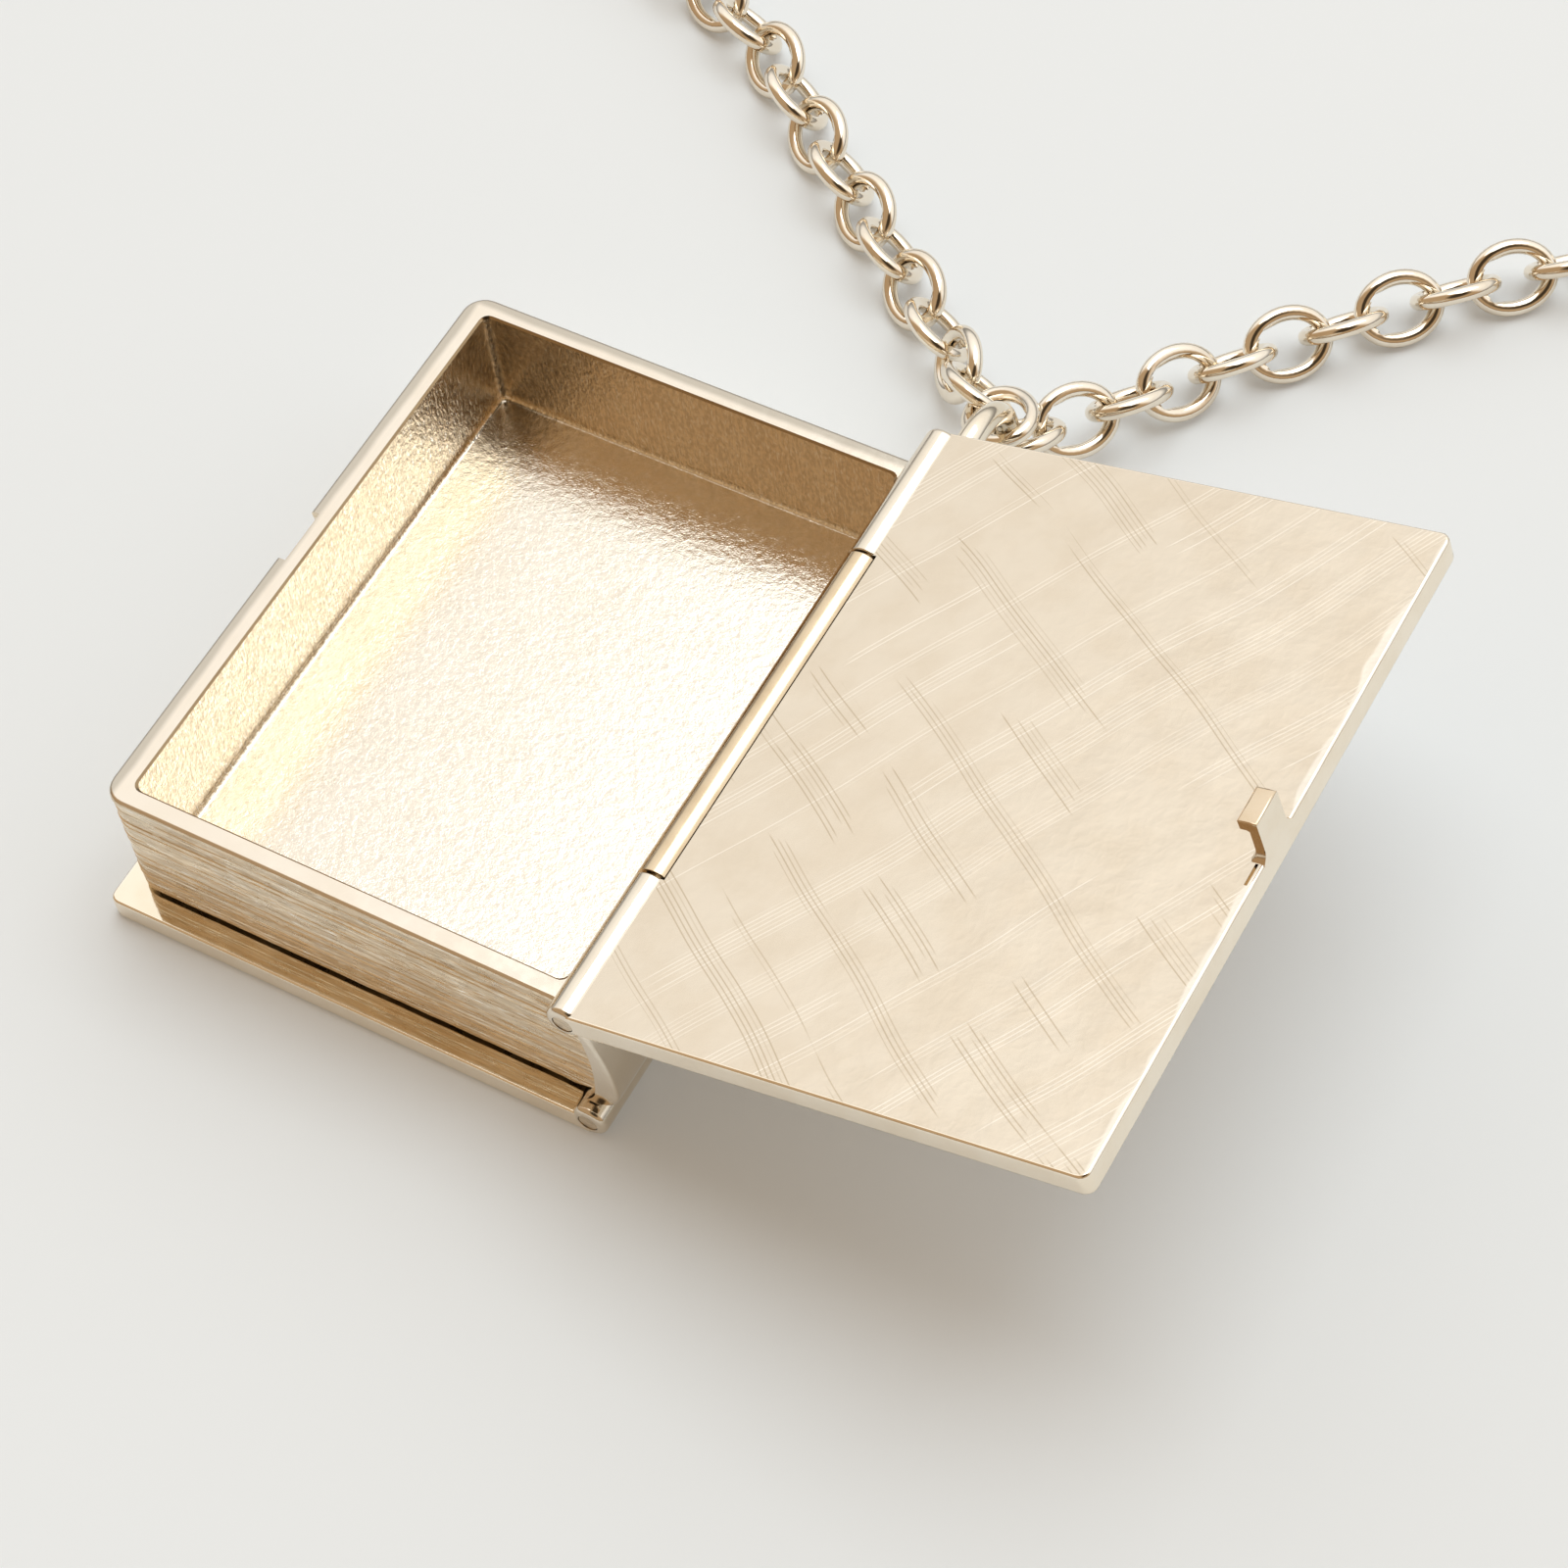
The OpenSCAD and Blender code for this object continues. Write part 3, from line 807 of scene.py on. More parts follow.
@dataclass
class CoverPlate:
    """One cover about its own hinge line, which lies on Y; the plate runs along +X."""

    name: str
    foot: float
    hinge: Hinge = field(default_factory=Hinge)
    reach: float = 29.8
    half: float = 20.0
    thickness: float = 1.5
    corner: float = 0.6
    inner_round: float = 0.16
    outer_round: float = 0.22
    knuckle_round: float = 0.34
    seam_round: float = 0.1
    slot: float = 0.525
    margin: float = 0.004

    @property
    def top(self) -> float:
        """Height of the upper face over the hinge line."""
        return self.foot + self.thickness

    def plate(self) -> Piece:
        """Model the plate with its rounded rim and the room for the centre knuckle.

        Returns:
            The plate.
        """
        obj = block(self.name, (0.0, -self.half, self.foot), (self.reach, self.half, self.top))
        bevel(obj, self.corner, 5, lambda a, b: min(a.x, b.x) > self.reach - NEAR
              and abs(a.z - b.z) > 1)
        for z, width in ((self.foot, self.outer_round), (self.top, self.inner_round)):
            bevel(obj, width, 3, lambda a, b: max(abs(a.z - z), abs(b.z - z)) < NEAR
                  and max(a.x, b.x) > NEAR)
        half = self.hinge.centre_half + self.hinge.seam
        work(obj, rod("room", self.hinge.room, -half, half), Cut.AWAY)
        work(obj, block("slot", (-1.0, -half, self.foot - 1), (self.slot, half, self.top + 1)),
             Cut.AWAY)
        return obj

    def knuckle(self, low: float, high: float) -> Piece:
        """Model one bored knuckle with softened ends.

        Args:
            low: Its lowest y.
            high: Its highest y.

        Returns:
            The knuckle.
        """
        obj = rod(self.name + "_knuckle", self.hinge.radius, low, high)
        bevel(obj, self.knuckle_round, 4, lambda a, b: abs(a.y - b.y) < NEAR
              and abs(a.y) > self.half - NEAR)
        bevel(obj, self.seam_round, 3, lambda a, b: abs(a.y - b.y) < NEAR
              and abs(a.y) < self.half - 1)
        return obj

    def bore(self) -> Piece:
        """Model the tool that bores both knuckles."""
        return rod("bore", self.hinge.bore, -self.half - 1, self.half + 1,
                   sides=self.hinge.bore_sides)

    def choose(self, centre: Vector, normal: Vector) -> int:
        """Pick the finish of a face.

        Args:
            centre: The face's middle.
            normal: The face's normal.

        Returns:
            0 for the plate's faces, 1 for its edges, painted lighter as the light they catch, 2 for
            the knuckles, 3 for the inner rounding at the fore side, painted as a highlight, 4 for the
            hook.
        """
        if centre.x < self.hinge.radius:
            return 2
        if centre.z > self.top + self.margin:
            return 4 if normal.x < 0.9 else 1
        if centre.x > self.reach - self.inner_round and 0.3 < normal.z < 0.99:
            return 3
        free = max(abs(centre.y) - self.half, centre.x - self.reach) > -0.9 * self.outer_round
        return int(free)

    def body(self) -> Piece:
        """Model the plate with its knuckles.

        Returns:
            The cover before its boring.
        """
        obj = self.plate()
        start = self.hinge.centre_half + self.hinge.seam
        for low, high in ((start, self.half), (-self.half, -start)):
            work(obj, self.knuckle(low, high), Cut.TOGETHER)
        return obj


@dataclass
class FrontCover(CoverPlate):
    """The front cover, which leans back open, with its latch hook."""

    name: str = "front_cover_dressed"
    foot: float = -0.75
    lean: float = -14.5
    hook_width: float = 2.2
    hook_height: float = 2.55
    hook_flare: float = 0.4
    stem: float = 0.58
    barb: float = 0.5
    slit_length: float = 1.3
    slit_inset: float = 0.3
    slit: float = 0.16
    slack: float = 0.01
    hook_lean: float = 0.18
    waist: float = 0.45
    chin: float = 0.74

    def slit_low(self) -> tuple[float, float]:
        """Give the x and y at which the slit begins."""
        return (self.reach - self.slit_inset - self.slit,
                -self.hook_width / 2 - self.hook_flare - self.slit_length)

    def choose(self, centre: Vector, normal: Vector) -> int:
        """Pick the finish of a face.

        Args:
            centre: The face's middle.
            normal: The face's normal.

        Returns:
            5 for the slit, which is painted dark as shade, and otherwise as for every cover.
        """
        x, y = self.slit_low()
        deep = self.top - centre.z
        if (self.slack < deep < self.slit + self.slack
                and -self.slack < centre.x - x < self.slit + self.slack
                and -self.slack < centre.y - y < self.slit_length + self.slack):
            return 5
        return super().choose(centre, normal)

    def flare(self) -> list[tuple[float, float]]:
        """List the heights at which the hook's foot widens, from the top down.

        Returns:
            Height in mm, and how much wider all below it becomes.
        """
        steps = 6
        widths = [self.hook_width / 2 + self.hook_flare * (n / steps) ** 2
                  for n in range(steps + 1)]
        rise = 1.7 * self.hook_flare
        return [(self.top - 0.04 + rise * (1 - n / steps), widths[n] / widths[n - 1])
                for n in range(1, steps + 1)]

    def hook(self) -> Piece:
        """Model the hook: a stem that is drawn in at its waist, with a barb on its inner side.

        Returns:
            The hook.
        """
        half = self.hook_width / 2
        top = self.top + self.hook_height
        waist = self.top + self.waist * self.hook_height
        chin = self.top + self.chin * self.hook_height
        inner = self.reach - self.stem
        obj = block("hook", (inner, -half, self.foot + 0.4), (self.reach, half, top))
        for z in (*[high for high, _ in self.flare()], waist, chin):
            slice_at(obj, z)
        with picked(obj, Select.FACES, lambda c, n: n.x < -0.9 and c.z > chin):
            bpy.ops.mesh.extrude_region_move(TRANSFORM_OT_translate={
                "value": (-self.barb, 0.0, 0.0)})
        shift(obj, lambda p: abs(p.x - inner) < NEAR and p.z < self.top + 0.1,
              (-self.hook_lean, 0.0, 0.0))
        bevel(obj, 0.13, 3, lambda a, b: min(a.z, b.z) > top - NEAR)
        bevel(obj, 0.1, 3, lambda a, b: min(abs(a.y), abs(b.y)) > half - NEAR
              and abs(a.y - b.y) < NEAR and max(a.x, b.x) < self.reach - NEAR)
        for high, share in self.flare():
            stretch(obj, lambda p: p.z < high + NEAR, (1.0, share, 1.0), (self.reach, 0.0, high))
        return obj

    def build(self, golds: Sequence[Material]) -> Piece:
        """Model, dress and seat the cover.

        Args:
            golds: The materials of the faces, the edges and the knuckles.

        Returns:
            The seated cover.
        """
        obj = self.body()
        work(obj, self.hook(), Cut.TOGETHER)
        work(obj, self.bore(), Cut.AWAY)
        x, y = self.slit_low()
        work(obj, block("slit", (x, y, self.top - self.slit),
                        (x + self.slit, y + self.slit_length, self.top + 1)), Cut.AWAY)
        with picked(obj, Select.FACES, lambda c, n: True):
            bpy.ops.mesh.dissolve_limited(angle_limit=math.radians(0.5))
        dress(obj, golds, self.choose)
        seat(obj, Matrix.Translation((self.hinge.x, 0.0, self.hinge.upper_z))
             @ Matrix.Rotation(math.radians(self.lean), 4, "Y"))
        return obj


@dataclass
class BackCover(CoverPlate):
    """The back cover, which lies flat under the page case."""

    name: str = "back_cover_dressed"
    foot: float = -1.05
    head_cut: float = 1.3
    head_room: float = 1.125

    def build(self, golds: Sequence[Material]) -> Piece:
        """Model, dress and seat the cover.

        Args:
            golds: The materials of the faces, the edges and the knuckles.

        Returns:
            The seated cover.
        """
        obj = self.body()
        work(obj, self.bore(), Cut.AWAY)
        work(obj, block("corner", (-3.0, -self.half - 1, -3.0),
                        (self.head_room, -self.half + self.head_cut, 3.0)), Cut.AWAY)
        dress(obj, golds, self.choose)
        seat(obj, Matrix.Translation((self.hinge.x, 0.0, self.hinge.lower_z))
             @ Matrix.Rotation(math.pi, 4, "Z"))
        return obj


@dataclass
class PageCase:
    """The hollow page case with its page lines, spine, centre knuckles and bail ring."""

    hinge: Hinge = field(default_factory=Hinge)
    fore: float = -14.05
    half: float = 18.6
    foot: float = 1.8
    rim: float = 10.2
    floor: float = 3.1
    hollow_fore: float = -12.65
    hollow_spine: float = 13.35
    hollow_half: float = 17.4
    hollow_corner: float = 0.55
    lip: float = 0.12
    floor_round: float = 0.3
    corner: float = 1.3
    rim_edge: float = 0.25
    band_z: float = 9.9
    sheet: float = 0.18
    sheet_inset: float = 0.08
    ledge: float = 0.02
    wave: float = 0.07
    fore_cuts: int = 50
    side_cuts: int = 38
    spine_free: float = 2.2
    rim_end: float = 14.0
    page_x: float = 15.45
    page_r: float = 14.0
    page_z: float = 5.664
    foot_r: float = 2.0
    foot_x: float = 13.325
    notch_x: float = -13.52
    notch_half: float = 1.7
    notch_z: float = 7.35
    spine_r: float = 10.9
    spine_x: float = 5.8
    spine_z: float = 4.0
    spine_wrap: float = 1.9
    spine_half: float = 19.3
    spine_top: float = 10.3
    spine_in: float = 14.3
    bail_r: float = 3.7
    bail_wire: float = 0.725
    bail_y: float = 22.825
    bail_z: float = 4.505
    bead: Point = (1.0, 0.62, 1.5)
    room_end: float = 20.15

    def page_reach(self, z: float) -> float:
        """Give how far the pages reach towards the spine.

        Args:
            z: Height in mm.

        Returns:
            The x of their rounded edge.
        """
        reach = self.page_x - self.page_r + math.sqrt(self.page_r ** 2 - (z - self.page_z) ** 2)
        low = self.foot + self.foot_r - z
        if low > 0:
            reach = min(reach, self.foot_x + math.sqrt(max(self.foot_r ** 2 - low ** 2, 0.0)))
        return reach

    def spine_reach(self, z: float) -> float:
        """Give how far the spine reaches out.

        Args:
            z: Height in mm.

        Returns:
            The x of its outer side.
        """
        if z > self.spine_z:
            return self.spine_x + math.sqrt(self.spine_r ** 2 - (z - self.spine_z) ** 2)
        low = min(self.spine_z - z, self.spine_wrap)
        return (self.spine_x + self.spine_r - self.spine_wrap
                + math.sqrt(self.spine_wrap ** 2 - low ** 2))

    def sheets(self) -> list[tuple[float, float, float]]:
        """Stack uneven sheets from the foot to the rim band.

        Returns:
            Foot, top and inset of each sheet in mm.
        """
        made = []
        low = self.foot
        number = 0
        while low < self.band_z - 0.12:
            thick = self.sheet * (1 + 0.3 * math.sin(number * 2.4) + 0.2 * math.cos(number * 5.1))
            high = min(low + thick, self.band_z)
            inset = self.sheet_inset * (0.5 + 0.3 * math.sin(number * 3.9)
                                        + 0.2 * math.cos(number * 1.7))
            made.append((low, high, inset))
            low = high
            number += 1
        return made

    @staticmethod
    def rows(obj: Piece, side: float, heights: Sequence[float],
             reach: Callable[[float], float]) -> None:
        """Cut a block at several heights and round its spine side.

        Args:
            obj: The block.
            side: The x of its spine side.
            heights: The block's foot, where it is cut, and its top.
            reach: Gives the x of the rounded side at a height.
        """
        for z in heights[1:-1]:
            slice_at(obj, z)
        for z in heights:
            shift(obj, lambda p: abs(p.z - z) < NEAR and p.x > side - NEAR,
                  (reach(z) - side, 0.0, 0.0))

    def pages(self) -> Piece:
        """Model the page block: stacked sheets under a smooth rounded rim.

        Returns:
            The block before it is hollowed.
        """
        obj = block("page_block", (self.fore, -self.half, self.foot),
                    (self.page_x, self.half, self.rim))
        sheets = self.sheets()
        heights = []
        for low, high, _ in sheets:
            heights += [low + self.ledge, high - self.ledge]
        self.rows(obj, self.page_x, [self.foot, *heights, self.band_z + self.ledge, self.rim],
                  self.page_reach)
        bevel(obj, self.corner, 6, lambda a, b: max(a.x, b.x) < self.fore + NEAR
              and abs(a.z - b.z) > NEAR)
        bevel(obj, self.rim_edge, 5, lambda a, b: min(a.z, b.z) > self.rim - NEAR
              and min(a.x, b.x) < self.rim_end)
        for cuts, side in ((self.fore_cuts, lambda p: p.x < self.fore + NEAR),
                           (self.side_cuts, lambda p: abs(p.y) > self.half - NEAR)):
            with picked(obj, Select.EDGES, lambda a, b: side(a) and side(b)
                        and abs(a.z - b.z) < NEAR and (a - b).length > 10
                        and a.z < self.band_z + 0.1):
                bpy.ops.mesh.subdivide(number_cuts=cuts)
        for low, high, inset in sheets:
            share = (1 - inset / (self.page_x - self.fore), 1 - inset / self.half, 1.0)
            stretch(obj, lambda p: low < p.z < high, share, (self.page_x, 0.0, low))
        self.roughen(obj)
        return obj

    def roughen(self, obj: Piece) -> None:
        """Wave the sheets along their length with a drawn-out noise.

        Args:
            obj: The page block.
        """
        group = obj.vertex_groups.new(name="sheets")
        group.add([v.index for v in obj.data.vertices
                   if v.co.z < self.band_z and v.co.x < self.page_x - self.spine_free], 1.0, "REPLACE")
        cloud = bpy.data.textures.new("sheet_cloud", "CLOUDS")
        cloud.noise_scale = 1.0
        cloud.noise_depth = 2
        stretch = bpy.data.objects.new("sheet_stretch", None)
        bpy.context.collection.objects.link(stretch)
        stretch.scale = (2.2, 2.2, 0.22)
        bpy.context.view_layer.update()
        only(obj)
        step = obj.modifiers.new("wave", "DISPLACE")
        step.texture = cloud
        step.texture_coords = "OBJECT"
        step.texture_coords_object = stretch
        step.vertex_group = group.name
        step.mid_level = 1.0
        step.strength = self.wave
        bpy.ops.object.modifier_apply(modifier=step.name)
        obj.vertex_groups.clear()
        bpy.data.objects.remove(stretch)
        bpy.data.textures.remove(cloud)

    def rooms(self) -> Piece:
        """Model the tool that makes room for the outer knuckles of both covers."""
        spans = ((self.hinge.centre_half, self.room_end),
                 (-self.room_end, -self.hinge.centre_half))
        return join([rod("room", self.hinge.room, low, high, self.hinge.x, z)
                     for low, high in spans for z in (self.hinge.upper_z, self.hinge.lower_z)],
                    "rooms")

    def block(self, rooms: Piece) -> Piece:
        """Hollow the page block and cut its notch and knuckle rooms.

        Args:
            rooms: The tool for the knuckle rooms, which is kept.

        Returns:
            The page case's block.
        """
        obj = self.pages()
        hollow = block("hollow", (self.hollow_fore, -self.hollow_half, self.floor),
                       (self.hollow_spine, self.hollow_half, self.rim + 2))
        bevel(hollow, self.hollow_corner, 4, lambda a, b: abs(a.z - b.z) > 1)
        bevel(hollow, self.floor_round, 3, lambda a, b: max(a.z, b.z) < self.floor + NEAR)
        slice_at(hollow, self.rim - self.lip)
        slice_at(hollow, self.rim)
        middle = (self.hollow_fore + self.hollow_spine) / 2
        share = (1 + self.lip / (self.hollow_spine - middle), 1 + self.lip / self.hollow_half, 1.0)
        stretch(hollow, lambda p: p.z > self.rim - NEAR, share, (middle, 0.0, self.rim))
        work(obj, hollow, Cut.AWAY)
        work(obj, rooms, Cut.AWAY, keep=True)
        work(obj, block("notch", (self.fore - 1, -self.notch_half, self.notch_z),
                        (self.notch_x, self.notch_half, self.rim + 1)), Cut.AWAY)
        return obj

    def spine(self, rooms: Piece) -> Piece:
        """Model the spine: a crescent round the page edges.

        Args:
            rooms: The tool for the knuckle rooms, which is kept.

        Returns:
            The spine.
        """
        wrap = [self.spine_z - self.spine_wrap * math.cos(math.radians(6 * n))
                for n in range(15)]
        back = [self.spine_z + 0.45 * n for n in range(14)]
        side = self.spine_x + self.spine_r
        obj = block("spine", (self.spine_in, -self.spine_half, wrap[0]),
                    (side, self.spine_half, self.spine_top))
        self.rows(obj, side, [*wrap, *back, self.spine_top], self.spine_reach)
        pages = block("pages", (0.0, -22.0, self.foot), (self.page_x, 22.0, self.rim))
        foot = [self.foot + self.foot_r * (1 - math.cos(math.radians(6 * n)))
                for n in range(1, 15)]
        top = [self.foot + self.foot_r + 0.4 * n for n in range(16)]
        self.rows(pages, self.page_x, [self.foot, *foot, *top, self.rim], self.page_reach)
        work(obj, pages, Cut.AWAY)
        work(obj, rooms, Cut.AWAY)
        bevel(obj, 0.2, 4, lambda a, b: abs(a.y - b.y) < NEAR
              and abs(a.y) > self.spine_half - NEAR
              and all(abs(p.x - self.spine_reach(p.z)) < 0.02 for p in (a, b)))
        return obj

    def knuckles(self) -> Piece:
        """Model both centre knuckles.

        Returns:
            The two knuckles as one object.
        """
        made = []
        for z in (self.hinge.upper_z, self.hinge.lower_z):
            half = self.hinge.centre_half
            obj = rod("centre_knuckle", self.hinge.radius, -half, half, self.hinge.x, z)
            bevel(obj, 0.08, 2, lambda a, b: abs(a.y - b.y) < NEAR)
            work(obj, rod("bore", self.hinge.bore, -self.half, self.half, self.hinge.x, z,
                          self.hinge.bore_sides), Cut.AWAY)
            made.append(obj)
        return join(made, "centre_knuckles")

    def bail(self) -> Piece:
        """Model the bail ring with the bead of solder that holds it.

        Returns:
            The ring.
        """
        obj = ring("bail_ring", self.bail_r, self.bail_wire, 80, 28,
                   (self.hinge.x, self.bail_y, self.bail_z), Turn.ALONG_X.value)
        bpy.ops.mesh.primitive_uv_sphere_add(
            segments=32, ring_count=16, radius=1.0, scale=self.bead,
            location=(self.hinge.x, self.half + 0.05, self.bail_z))
        bead = name_new("solder")
        stretch(bead, lambda p: p.y > self.half + 0.3, (0.8, 1.0, 1.15),
                (self.hinge.x, self.half, self.bail_z))
        work(obj, bead, Cut.TOGETHER)
        return obj

    def choose(self, centre: Vector, normal: Vector) -> int:
        """Pick the finish of a face of the block.

        Args:
            centre: The face's middle.
            normal: The face's normal.

        Returns:
            0 for page edges, 1 for the rim, 2 for the hollow's walls, 3 for its floor, 4 for
            its lip, which is painted dark as shade.
        """
        if centre.z > self.rim - self.lip and 0.3 < normal.z < 0.9 and (
                self.hollow_fore - self.lip < centre.x < self.hollow_spine + self.lip
                and abs(centre.y) < self.hollow_half + self.lip):
            return 4
        inside = (self.hollow_fore - 0.01 < centre.x < self.hollow_spine + 0.01
                  and abs(centre.y) < self.hollow_half + 0.01)
        if inside and self.floor - 0.01 < centre.z < self.rim - NEAR:
            return 3 if normal.z > 0.9 and centre.z < self.floor + 0.05 else 2
        return 1 if centre.z > self.band_z and normal.z > 0.5 else 0

    def build(self, golds: dict[str, Material]) -> list[Piece]:
        """Model, dress and seat the whole case.

        Args:
            golds: The materials by name.

        Returns:
            The seated pieces.
        """
        rooms = self.rooms()
        made = self.block(rooms)
        dress(made, [golds[n] for n in ("page_edge_gold", "rim_gold", "hollow_wall_gold",
                                        "hollow_floor_gold", "recess_shade_gold")], self.choose)
        spine, knuckles, bail = self.spine(rooms), self.knuckles(), self.bail()
        dress(spine, [golds["spine_gold"]])
        dress(knuckles, [golds["centre_barrel_gold"]])
        dress(bail, [golds["bail_gold"]])
        for piece in (made, spine, knuckles):
            seat(piece)
        seat(bail, wire=True)
        return [made, spine, knuckles, bail]


@dataclass
class CableLink:
    """One oval link: half lengths of its centre line and its wire, in mm."""

    long_half: float = 2.25
    short_half: float = 1.75
    wire: float = 0.45
    slack: float = 0.02

    def model(self, name: str, around: int, across: int) -> Piece:
        """Model a link in the XY plane from a ring that is drawn out along X.

        Args:
            name: Name of the object.
            around: Steps round the link.
            across: Steps round the wire.

        Returns:
            The link.
        """
        obj = ring(name, self.short_half, self.wire, around, across)
        draw = self.long_half - self.short_half
        for step in range(around // 2 + 1):
            turn = 2 * math.pi * step / around
            shift(obj, lambda p: abs(abs(math.atan2(p.y, p.x)) - turn) < self.slack,
                  (draw * math.cos(turn), 0.0, 0.0))
        return obj


LEFT_ROUTE = (
    (-0.6, 4.1, 3.1, 36), (-3.55, 6.35, 1.85, -2), (-5.8, 8.45, 0.55, -12), (-8.4, 10.7, 0, 0),
    (-11.1, 12.8, 0, 0), (-16.6, 16.9, 0, 0), (-21.9, 20.9, 0, 0), (-27.3, 25.2, 0, 0),
    (-32.4, 28, 0, 0), (-50, 37, 0, 0), (-70, 52, 0, 0), (-85, 74, 0, 0), (-92, 102, 0, 0),
    (-90, 132, 0, 0), (-78, 162, 0, 0), (-56, 187, 0, 0), (-26, 201.5, 0.4, 0), (3, 204, 0.8, 0))
RIGHT_ROUTE = (
    (0.5, 4.3, 1.65, 14), (3.6, 8.35, 1.05, 1), (4.4, 9.55, 0.95, 4), (6.7, 13.4, 0.1, 0),
    (11.3, 18.9, 0, 0), (16, 24, 0, 0), (21, 28.8, 0, 0), (27.5, 34, 0, 0), (44, 46, 0, 0),
    (64, 61, 0, 0), (82, 82, 0, 0), (91, 108, 0, 0), (90, 136, 0, 0), (78, 165, 0, 0),
    (56, 187.5, 0, 0), (30, 201.5, 0.4, 0), (3, 204, 0.8, 0))


@dataclass
class Route:
    """A strand's smooth route through its chosen points, measured from the bail ring."""

    points: Sequence[Sequence[float]]
    steps: int = 12
    curve: list[list[float]] = field(init=False)
    run: list[float] = field(init=False)

    def __post_init__(self) -> None:
        """Sample the curve and its length."""
        last = len(self.points) - 1
        self.curve = []
        for i in range(last):
            four = [self.points[min(max(i + k, 0), last)] for k in (-1, 0, 1, 2)]
            self.curve += [self.between(*four, k / self.steps) for k in range(self.steps)]
        self.curve.append(list(self.points[last]))
        self.run = [0.0]
        for one, two in zip(self.curve, self.curve[1:]):
            self.run.append(self.run[-1] + math.dist(one[:3], two[:3]))

    @staticmethod
    def between(a: Sequence[float], b: Sequence[float], c: Sequence[float],
                d: Sequence[float], t: float) -> list[float]:
        """Give a point of the smooth curve through four points.

        Args:
            a: Point before.
            b: Start.
            c: End.
            d: Point after.
            t: Share of the way from start to end.

        Returns:
            The point.
        """
        return [0.5 * (2 * q + (r - p) * t + (2 * p - 5 * q + 4 * r - s) * t ** 2
                       + (3 * q - p - 3 * r + s) * t ** 3) for p, q, r, s in zip(a, b, c, d)]

    def at(self, length: float) -> list[float]:
        """Give the place and turn at a length along the route.

        Args:
            length: Length in mm.

        Returns:
            x, y, height and turn.
        """
        length = min(max(length, 0.0), self.run[-1])
        i = min(max(bisect_right(self.run, length) - 1, 0), len(self.run) - 2)
        share = (length - self.run[i]) / (self.run[i + 1] - self.run[i])
        return [p + (q - p) * share for p, q in zip(self.curve[i], self.curve[i + 1])]


@dataclass
class Necklace:
    """The cable chain: two strands from the bail ring to the plain clasp ring."""

    link: CableLink = field(default_factory=CableLink)
    bail: Point = (14.9, 22.825, 4.505)
    pitch: float = 3.43
    clasp_r: float = 2.65
    clasp_wire: float = 0.65
    play: float = 0.17
    rise: float = 0.03
    near_links: int = 16

    def lie(self, radius: float, wire: float) -> float:
        """Give the middle height of a ring that lies on the floor at 45 degrees."""
        return radius * math.sin(math.pi / 4) + wire + self.rise

    @property
    def clasp_pitch(self) -> float:
        """Distance from the clasp's middle to that of the link that it holds."""
        return self.link.long_half + self.clasp_r - self.link.wire - self.clasp_wire - self.play

    def links(self, route: Route) -> int:
        """Give how many steps of the pitch a strand takes."""
        return math.ceil((route.run[-1] - self.clasp_pitch) / self.pitch)

    def place(self, route: Route, number: int) -> Matrix:
        """Give the place of one link.

        Args:
            route: The strand's route.
            number: The link's number from the bail ring.

        Returns:
            Its place in mm.
        """
        s = (route.run[-1] - self.clasp_pitch) * number / self.links(route)
        ahead, behind = route.at(s + self.pitch / 6), route.at(s - self.pitch / 6)
        dx, dy, dz = (p - q for p, q in zip(ahead[:3], behind[:3]))
        x, y, z, turn = route.at(s)
        z += self.lie(self.link.short_half, self.link.wire)
        return (Matrix.Translation((self.bail[0] + x, self.bail[1] + y, z))
                @ Matrix.Rotation(math.atan2(dy, dx), 4, "Z")
                @ Matrix.Rotation(-math.atan2(dz, math.hypot(dx, dy)), 4, "Y")
                @ Matrix.Rotation(math.radians(-45 + 90 * number + turn), 4, "X"))

    def strand(self, name: str, points: Sequence[Sequence[float]], gold: Material) -> Piece:
        """Model one strand: a link copied along the route.

        Args:
            name: Name of the strand.
            points: The chosen points of its route.
            gold: Its material.

        Returns:
            The seated strand.
        """
        route = Route(points)
        fine = self.link.model("fine_link", 40, 16)
        plain = self.link.model("plain_link", 24, 10)
        made = []
        for number in range(self.links(route) + 1):
            model = fine if number < self.near_links else plain
            copy = model.copy()
            copy.data = model.data.copy()
            bpy.context.collection.objects.link(copy)
            copy.data.transform(self.place(route, number))
            made.append(copy)
        for model in (fine, plain):
            bpy.data.objects.remove(model)
        obj = join(made, name)
        dress(obj, [gold])
        seat(obj, wire=True)
        return obj

    def clasp(self, gold: Material) -> Piece:
        """Model the plain clasp ring.

        Args:
            gold: Its material.

        Returns:
            The seated ring.
        """
        x, y = LEFT_ROUTE[-1][:2]
        turn = math.radians(45 + 90 * self.links(Route(LEFT_ROUTE)))
        obj = ring("clasp_ring", self.clasp_r, self.clasp_wire, 56, 20,
                   (self.bail[0] + x, self.bail[1] + y, self.lie(self.clasp_r, self.clasp_wire)),
                   (turn, 0.0, 0.0))
        dress(obj, [gold])
        seat(obj, wire=True)
        return obj


# Studio


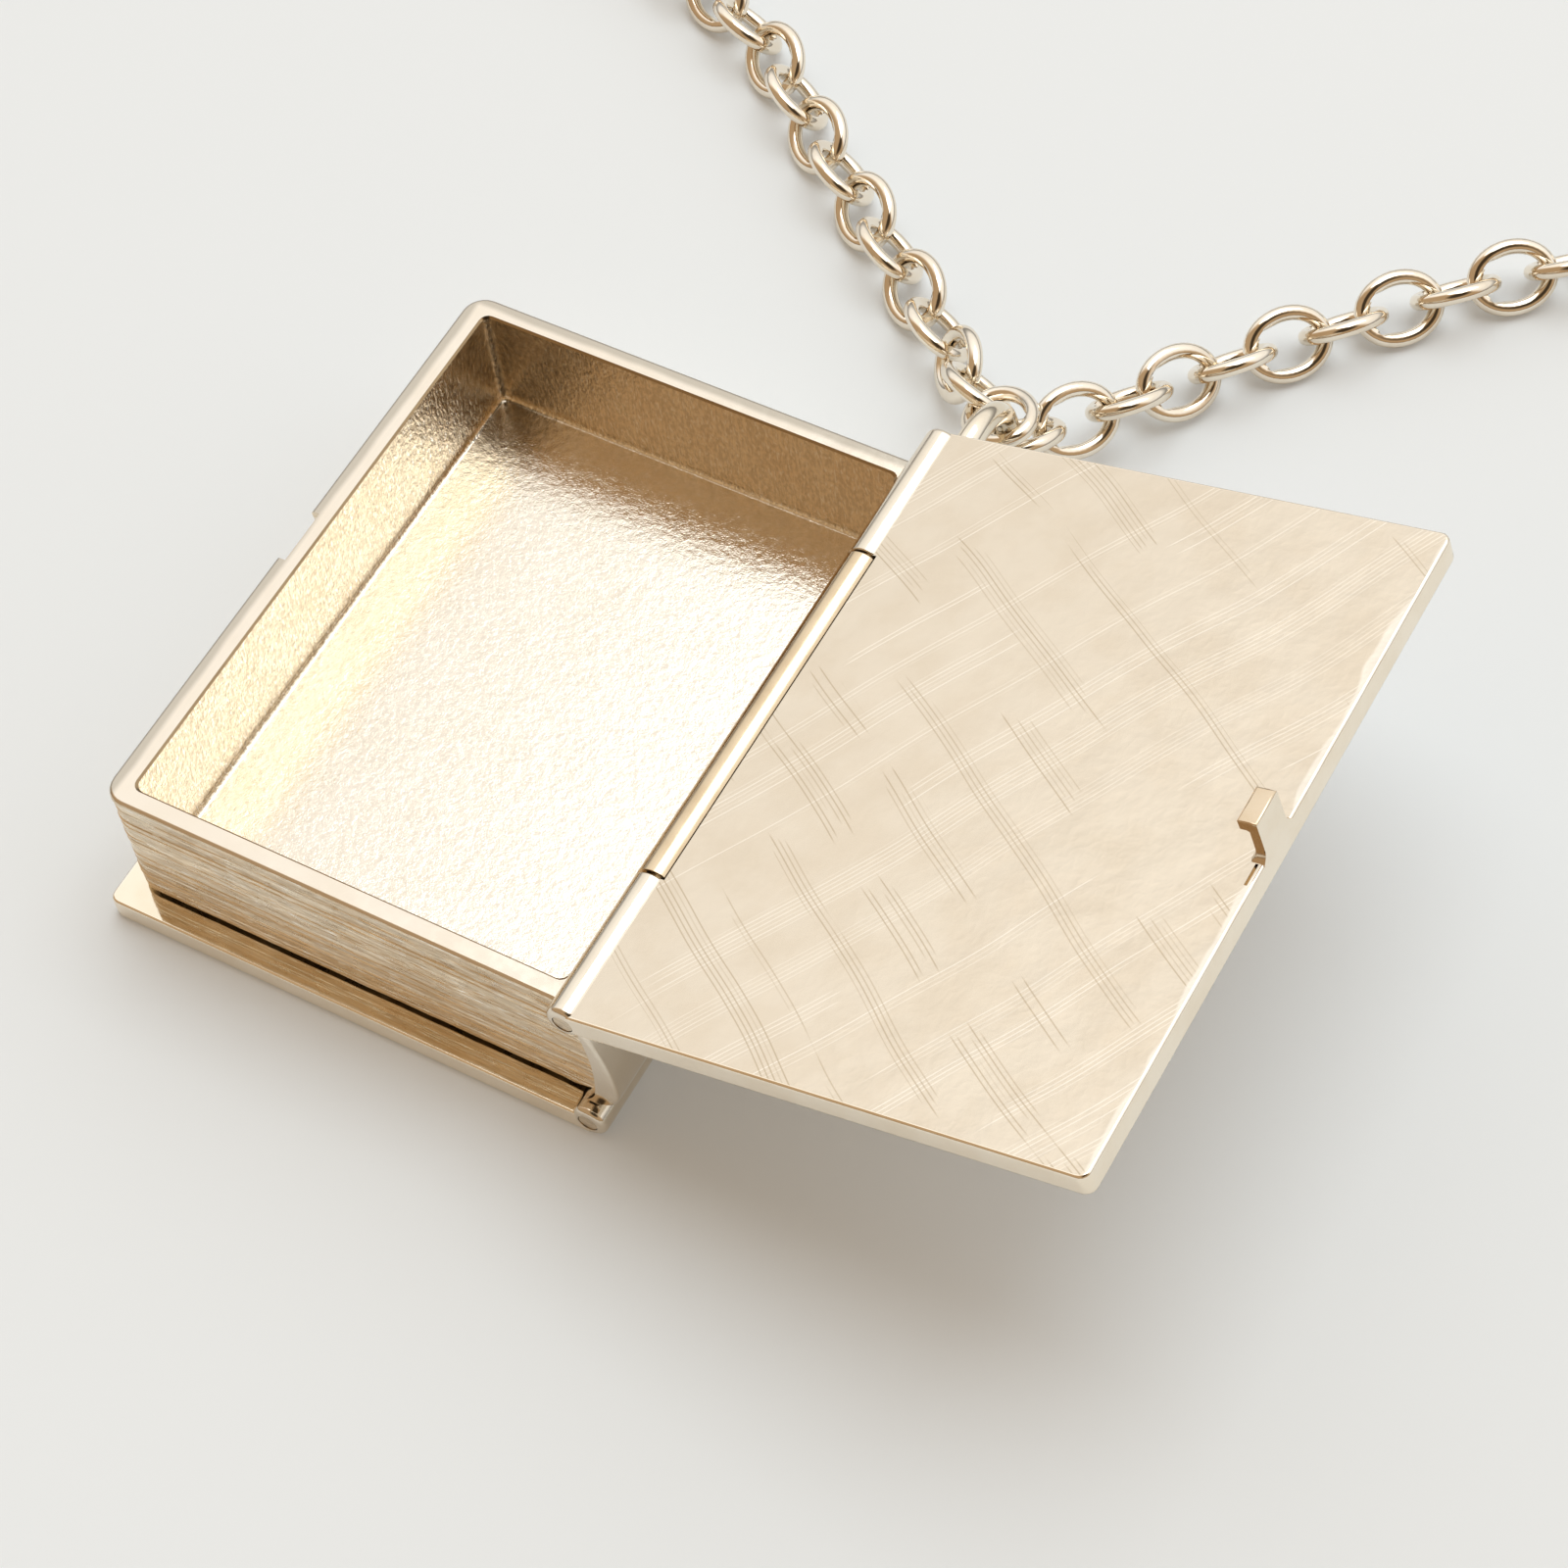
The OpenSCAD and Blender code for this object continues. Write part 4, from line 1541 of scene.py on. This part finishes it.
@dataclass
class Studio:
    """The plain floor, the soft lights and the camera at the photo's angle."""

    floor_colour: Colour = (0.73, 0.76, 0.78)
    floor_glow: float = 0.10
    sky_dim: float = 0.5
    sky_glow: float = 0.58
    sky_rise: float = 0.2
    camera_place: Point = (84.007, -93.022, 177.881)
    camera_turn: Point = (33.5246, 4.7759, 29.1505)
    lens: float = 91.53

    def floor(self) -> None:
        """Lay the floor."""
        bpy.ops.mesh.primitive_plane_add(size=6.0, location=(0.0, 0.0, 0.0))
        obj = bpy.context.object
        obj.name = "studio_floor"
        made = bpy.data.materials.new("studio_floor")
        made.use_nodes = True
        w = Wiring(made.node_tree)
        shader = w.node("BsdfPrincipled", {"Base Color": (*self.floor_colour, 1.0),
                                           "Roughness": 0.85, "Specular IOR Level": 0.2,
                                           "Emission Color": (1.0, 1.0, 0.985, 1.0),
                                           "Emission Strength": self.floor_glow})
        w.node("OutputMaterial", {"Surface": shader.outputs[0]})
        obj.data.materials.append(made)

    def sky(self) -> None:
        """Surround the part with soft light that is brightest behind and above it."""
        world = bpy.data.worlds.new("studio_sky")
        bpy.context.scene.world = world
        world.use_nodes = True
        w = Wiring(world.node_tree)
        way = w.node("TexCoord").outputs["Generated"]
        side = w.axes(way)
        behind = w.spread(side["Y"], -0.18, 0.22)
        glow = w.times(behind, w.spread(side["Z"], 0.12, 0.4))
        rise = w.times(glow, w.spread(side["Z"], 0.45, 0.78))
        level = w.sum(w.sum(w.times(glow, self.sky_glow), self.sky_dim),
                      w.times(rise, self.sky_rise))
        facing = w.along(way, tuple(Vector(self.camera_place).normalized()))
        level = w.times(level, w.spread(facing, 0.85, 0.97, 1.0, 0.12))
        level = w.times(level, w.spread(side["Z"], 0.02, 0.22, 0.6, 1.0))
        tint = w.blend(behind, (1.0, 0.71, 0.43, 1.0), (1.0, 0.985, 0.96, 1.0))
        back = w.node("Background", {"Color": tint, "Strength": level})
        w.node("OutputWorld", {"Surface": back.outputs[0]})

    @staticmethod
    def lamp(name: str, place: Point, size: float, power: float, tint: Colour) -> None:
        """Hang one square soft light that faces the locket.

        Args:
            name: The light's name.
            place: Where it hangs, in metres.
            size: Its side in metres.
            power: Its power in watts.
            tint: Its colour.
        """
        data = bpy.data.lights.new(name, "AREA")
        data.size = size
        data.energy = power
        data.color = tint
        obj = bpy.data.objects.new(name, data)
        bpy.context.collection.objects.link(obj)
        obj.location = place
        obj.rotation_euler = (-Vector(place)).to_track_quat("-Z", "Y").to_euler()

    def camera(self) -> None:
        """Set up the camera as the photo was taken."""
        data = bpy.data.cameras.new("photo_camera")
        data.lens = self.lens
        data.sensor_width = 36.0
        data.clip_start = 0.005
        obj = bpy.data.objects.new("photo_camera", data)
        bpy.context.collection.objects.link(obj)
        obj.location = [v * MM for v in self.camera_place]
        obj.rotation_euler = [math.radians(v) for v in self.camera_turn]
        bpy.context.scene.camera = obj

    def build(self) -> None:
        """Set the whole studio up."""
        self.floor()
        self.sky()
        self.lamp("overhead_softbox", (0.04, 0.3, 0.95), 0.75, 3.5, (0.86, 0.95, 1.0))
        self.camera()
        bpy.context.scene.view_settings.view_transform = "Standard"


# Assembly


def ride(pieces: Sequence[Piece], body: str, node: str) -> None:
    """Let pieces stand for a node, whose part is hidden, and ride on its body.

    Args:
        pieces: The pieces.
        body: The body's name.
        node: The node's name.
    """
    for piece in pieces:
        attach(piece, body)
        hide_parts(node)
        LOG.info("%s rides on %s: %d faces", piece.name, body, len(piece.data.polygons))


def main() -> None:
    """Build, dress and seat every piece, then the studio."""
    logging.basicConfig(level=logging.INFO, format="%(name)s: %(message)s")
    effects = Effects()
    golds = {finish.name: finish.material(effects) for finish in FINISHES}
    Studio().build()
    ride(PageCase().build(golds), "case", "page_case")
    ride([FrontCover().build([golds[n] for n in ("front_cover_gold", *COVER_EDGES)])],
         "front", "front_cover")
    ride([BackCover().build([golds[n] for n in ("back_cover_gold", *COVER_EDGES)])],
         "back", "back_cover")
    necklace = Necklace()
    for name, points in (("chain_left", LEFT_ROUTE), ("chain_right", RIGHT_ROUTE)):
        ride([necklace.strand(name + "_links", points, golds["chain_gold"])], "case", name)
    ride([necklace.clasp(golds["chain_gold"])], "case", "clasp")
    for name in ("upper_pin", "lower_pin"):
        pin = bpy.data.objects[name]
        pin.data.materials.clear()
        pin.data.materials.append(golds["pin_gold"])
        LOG.info("%s keeps its solid", name)


if __name__ == "__main__":
    main()
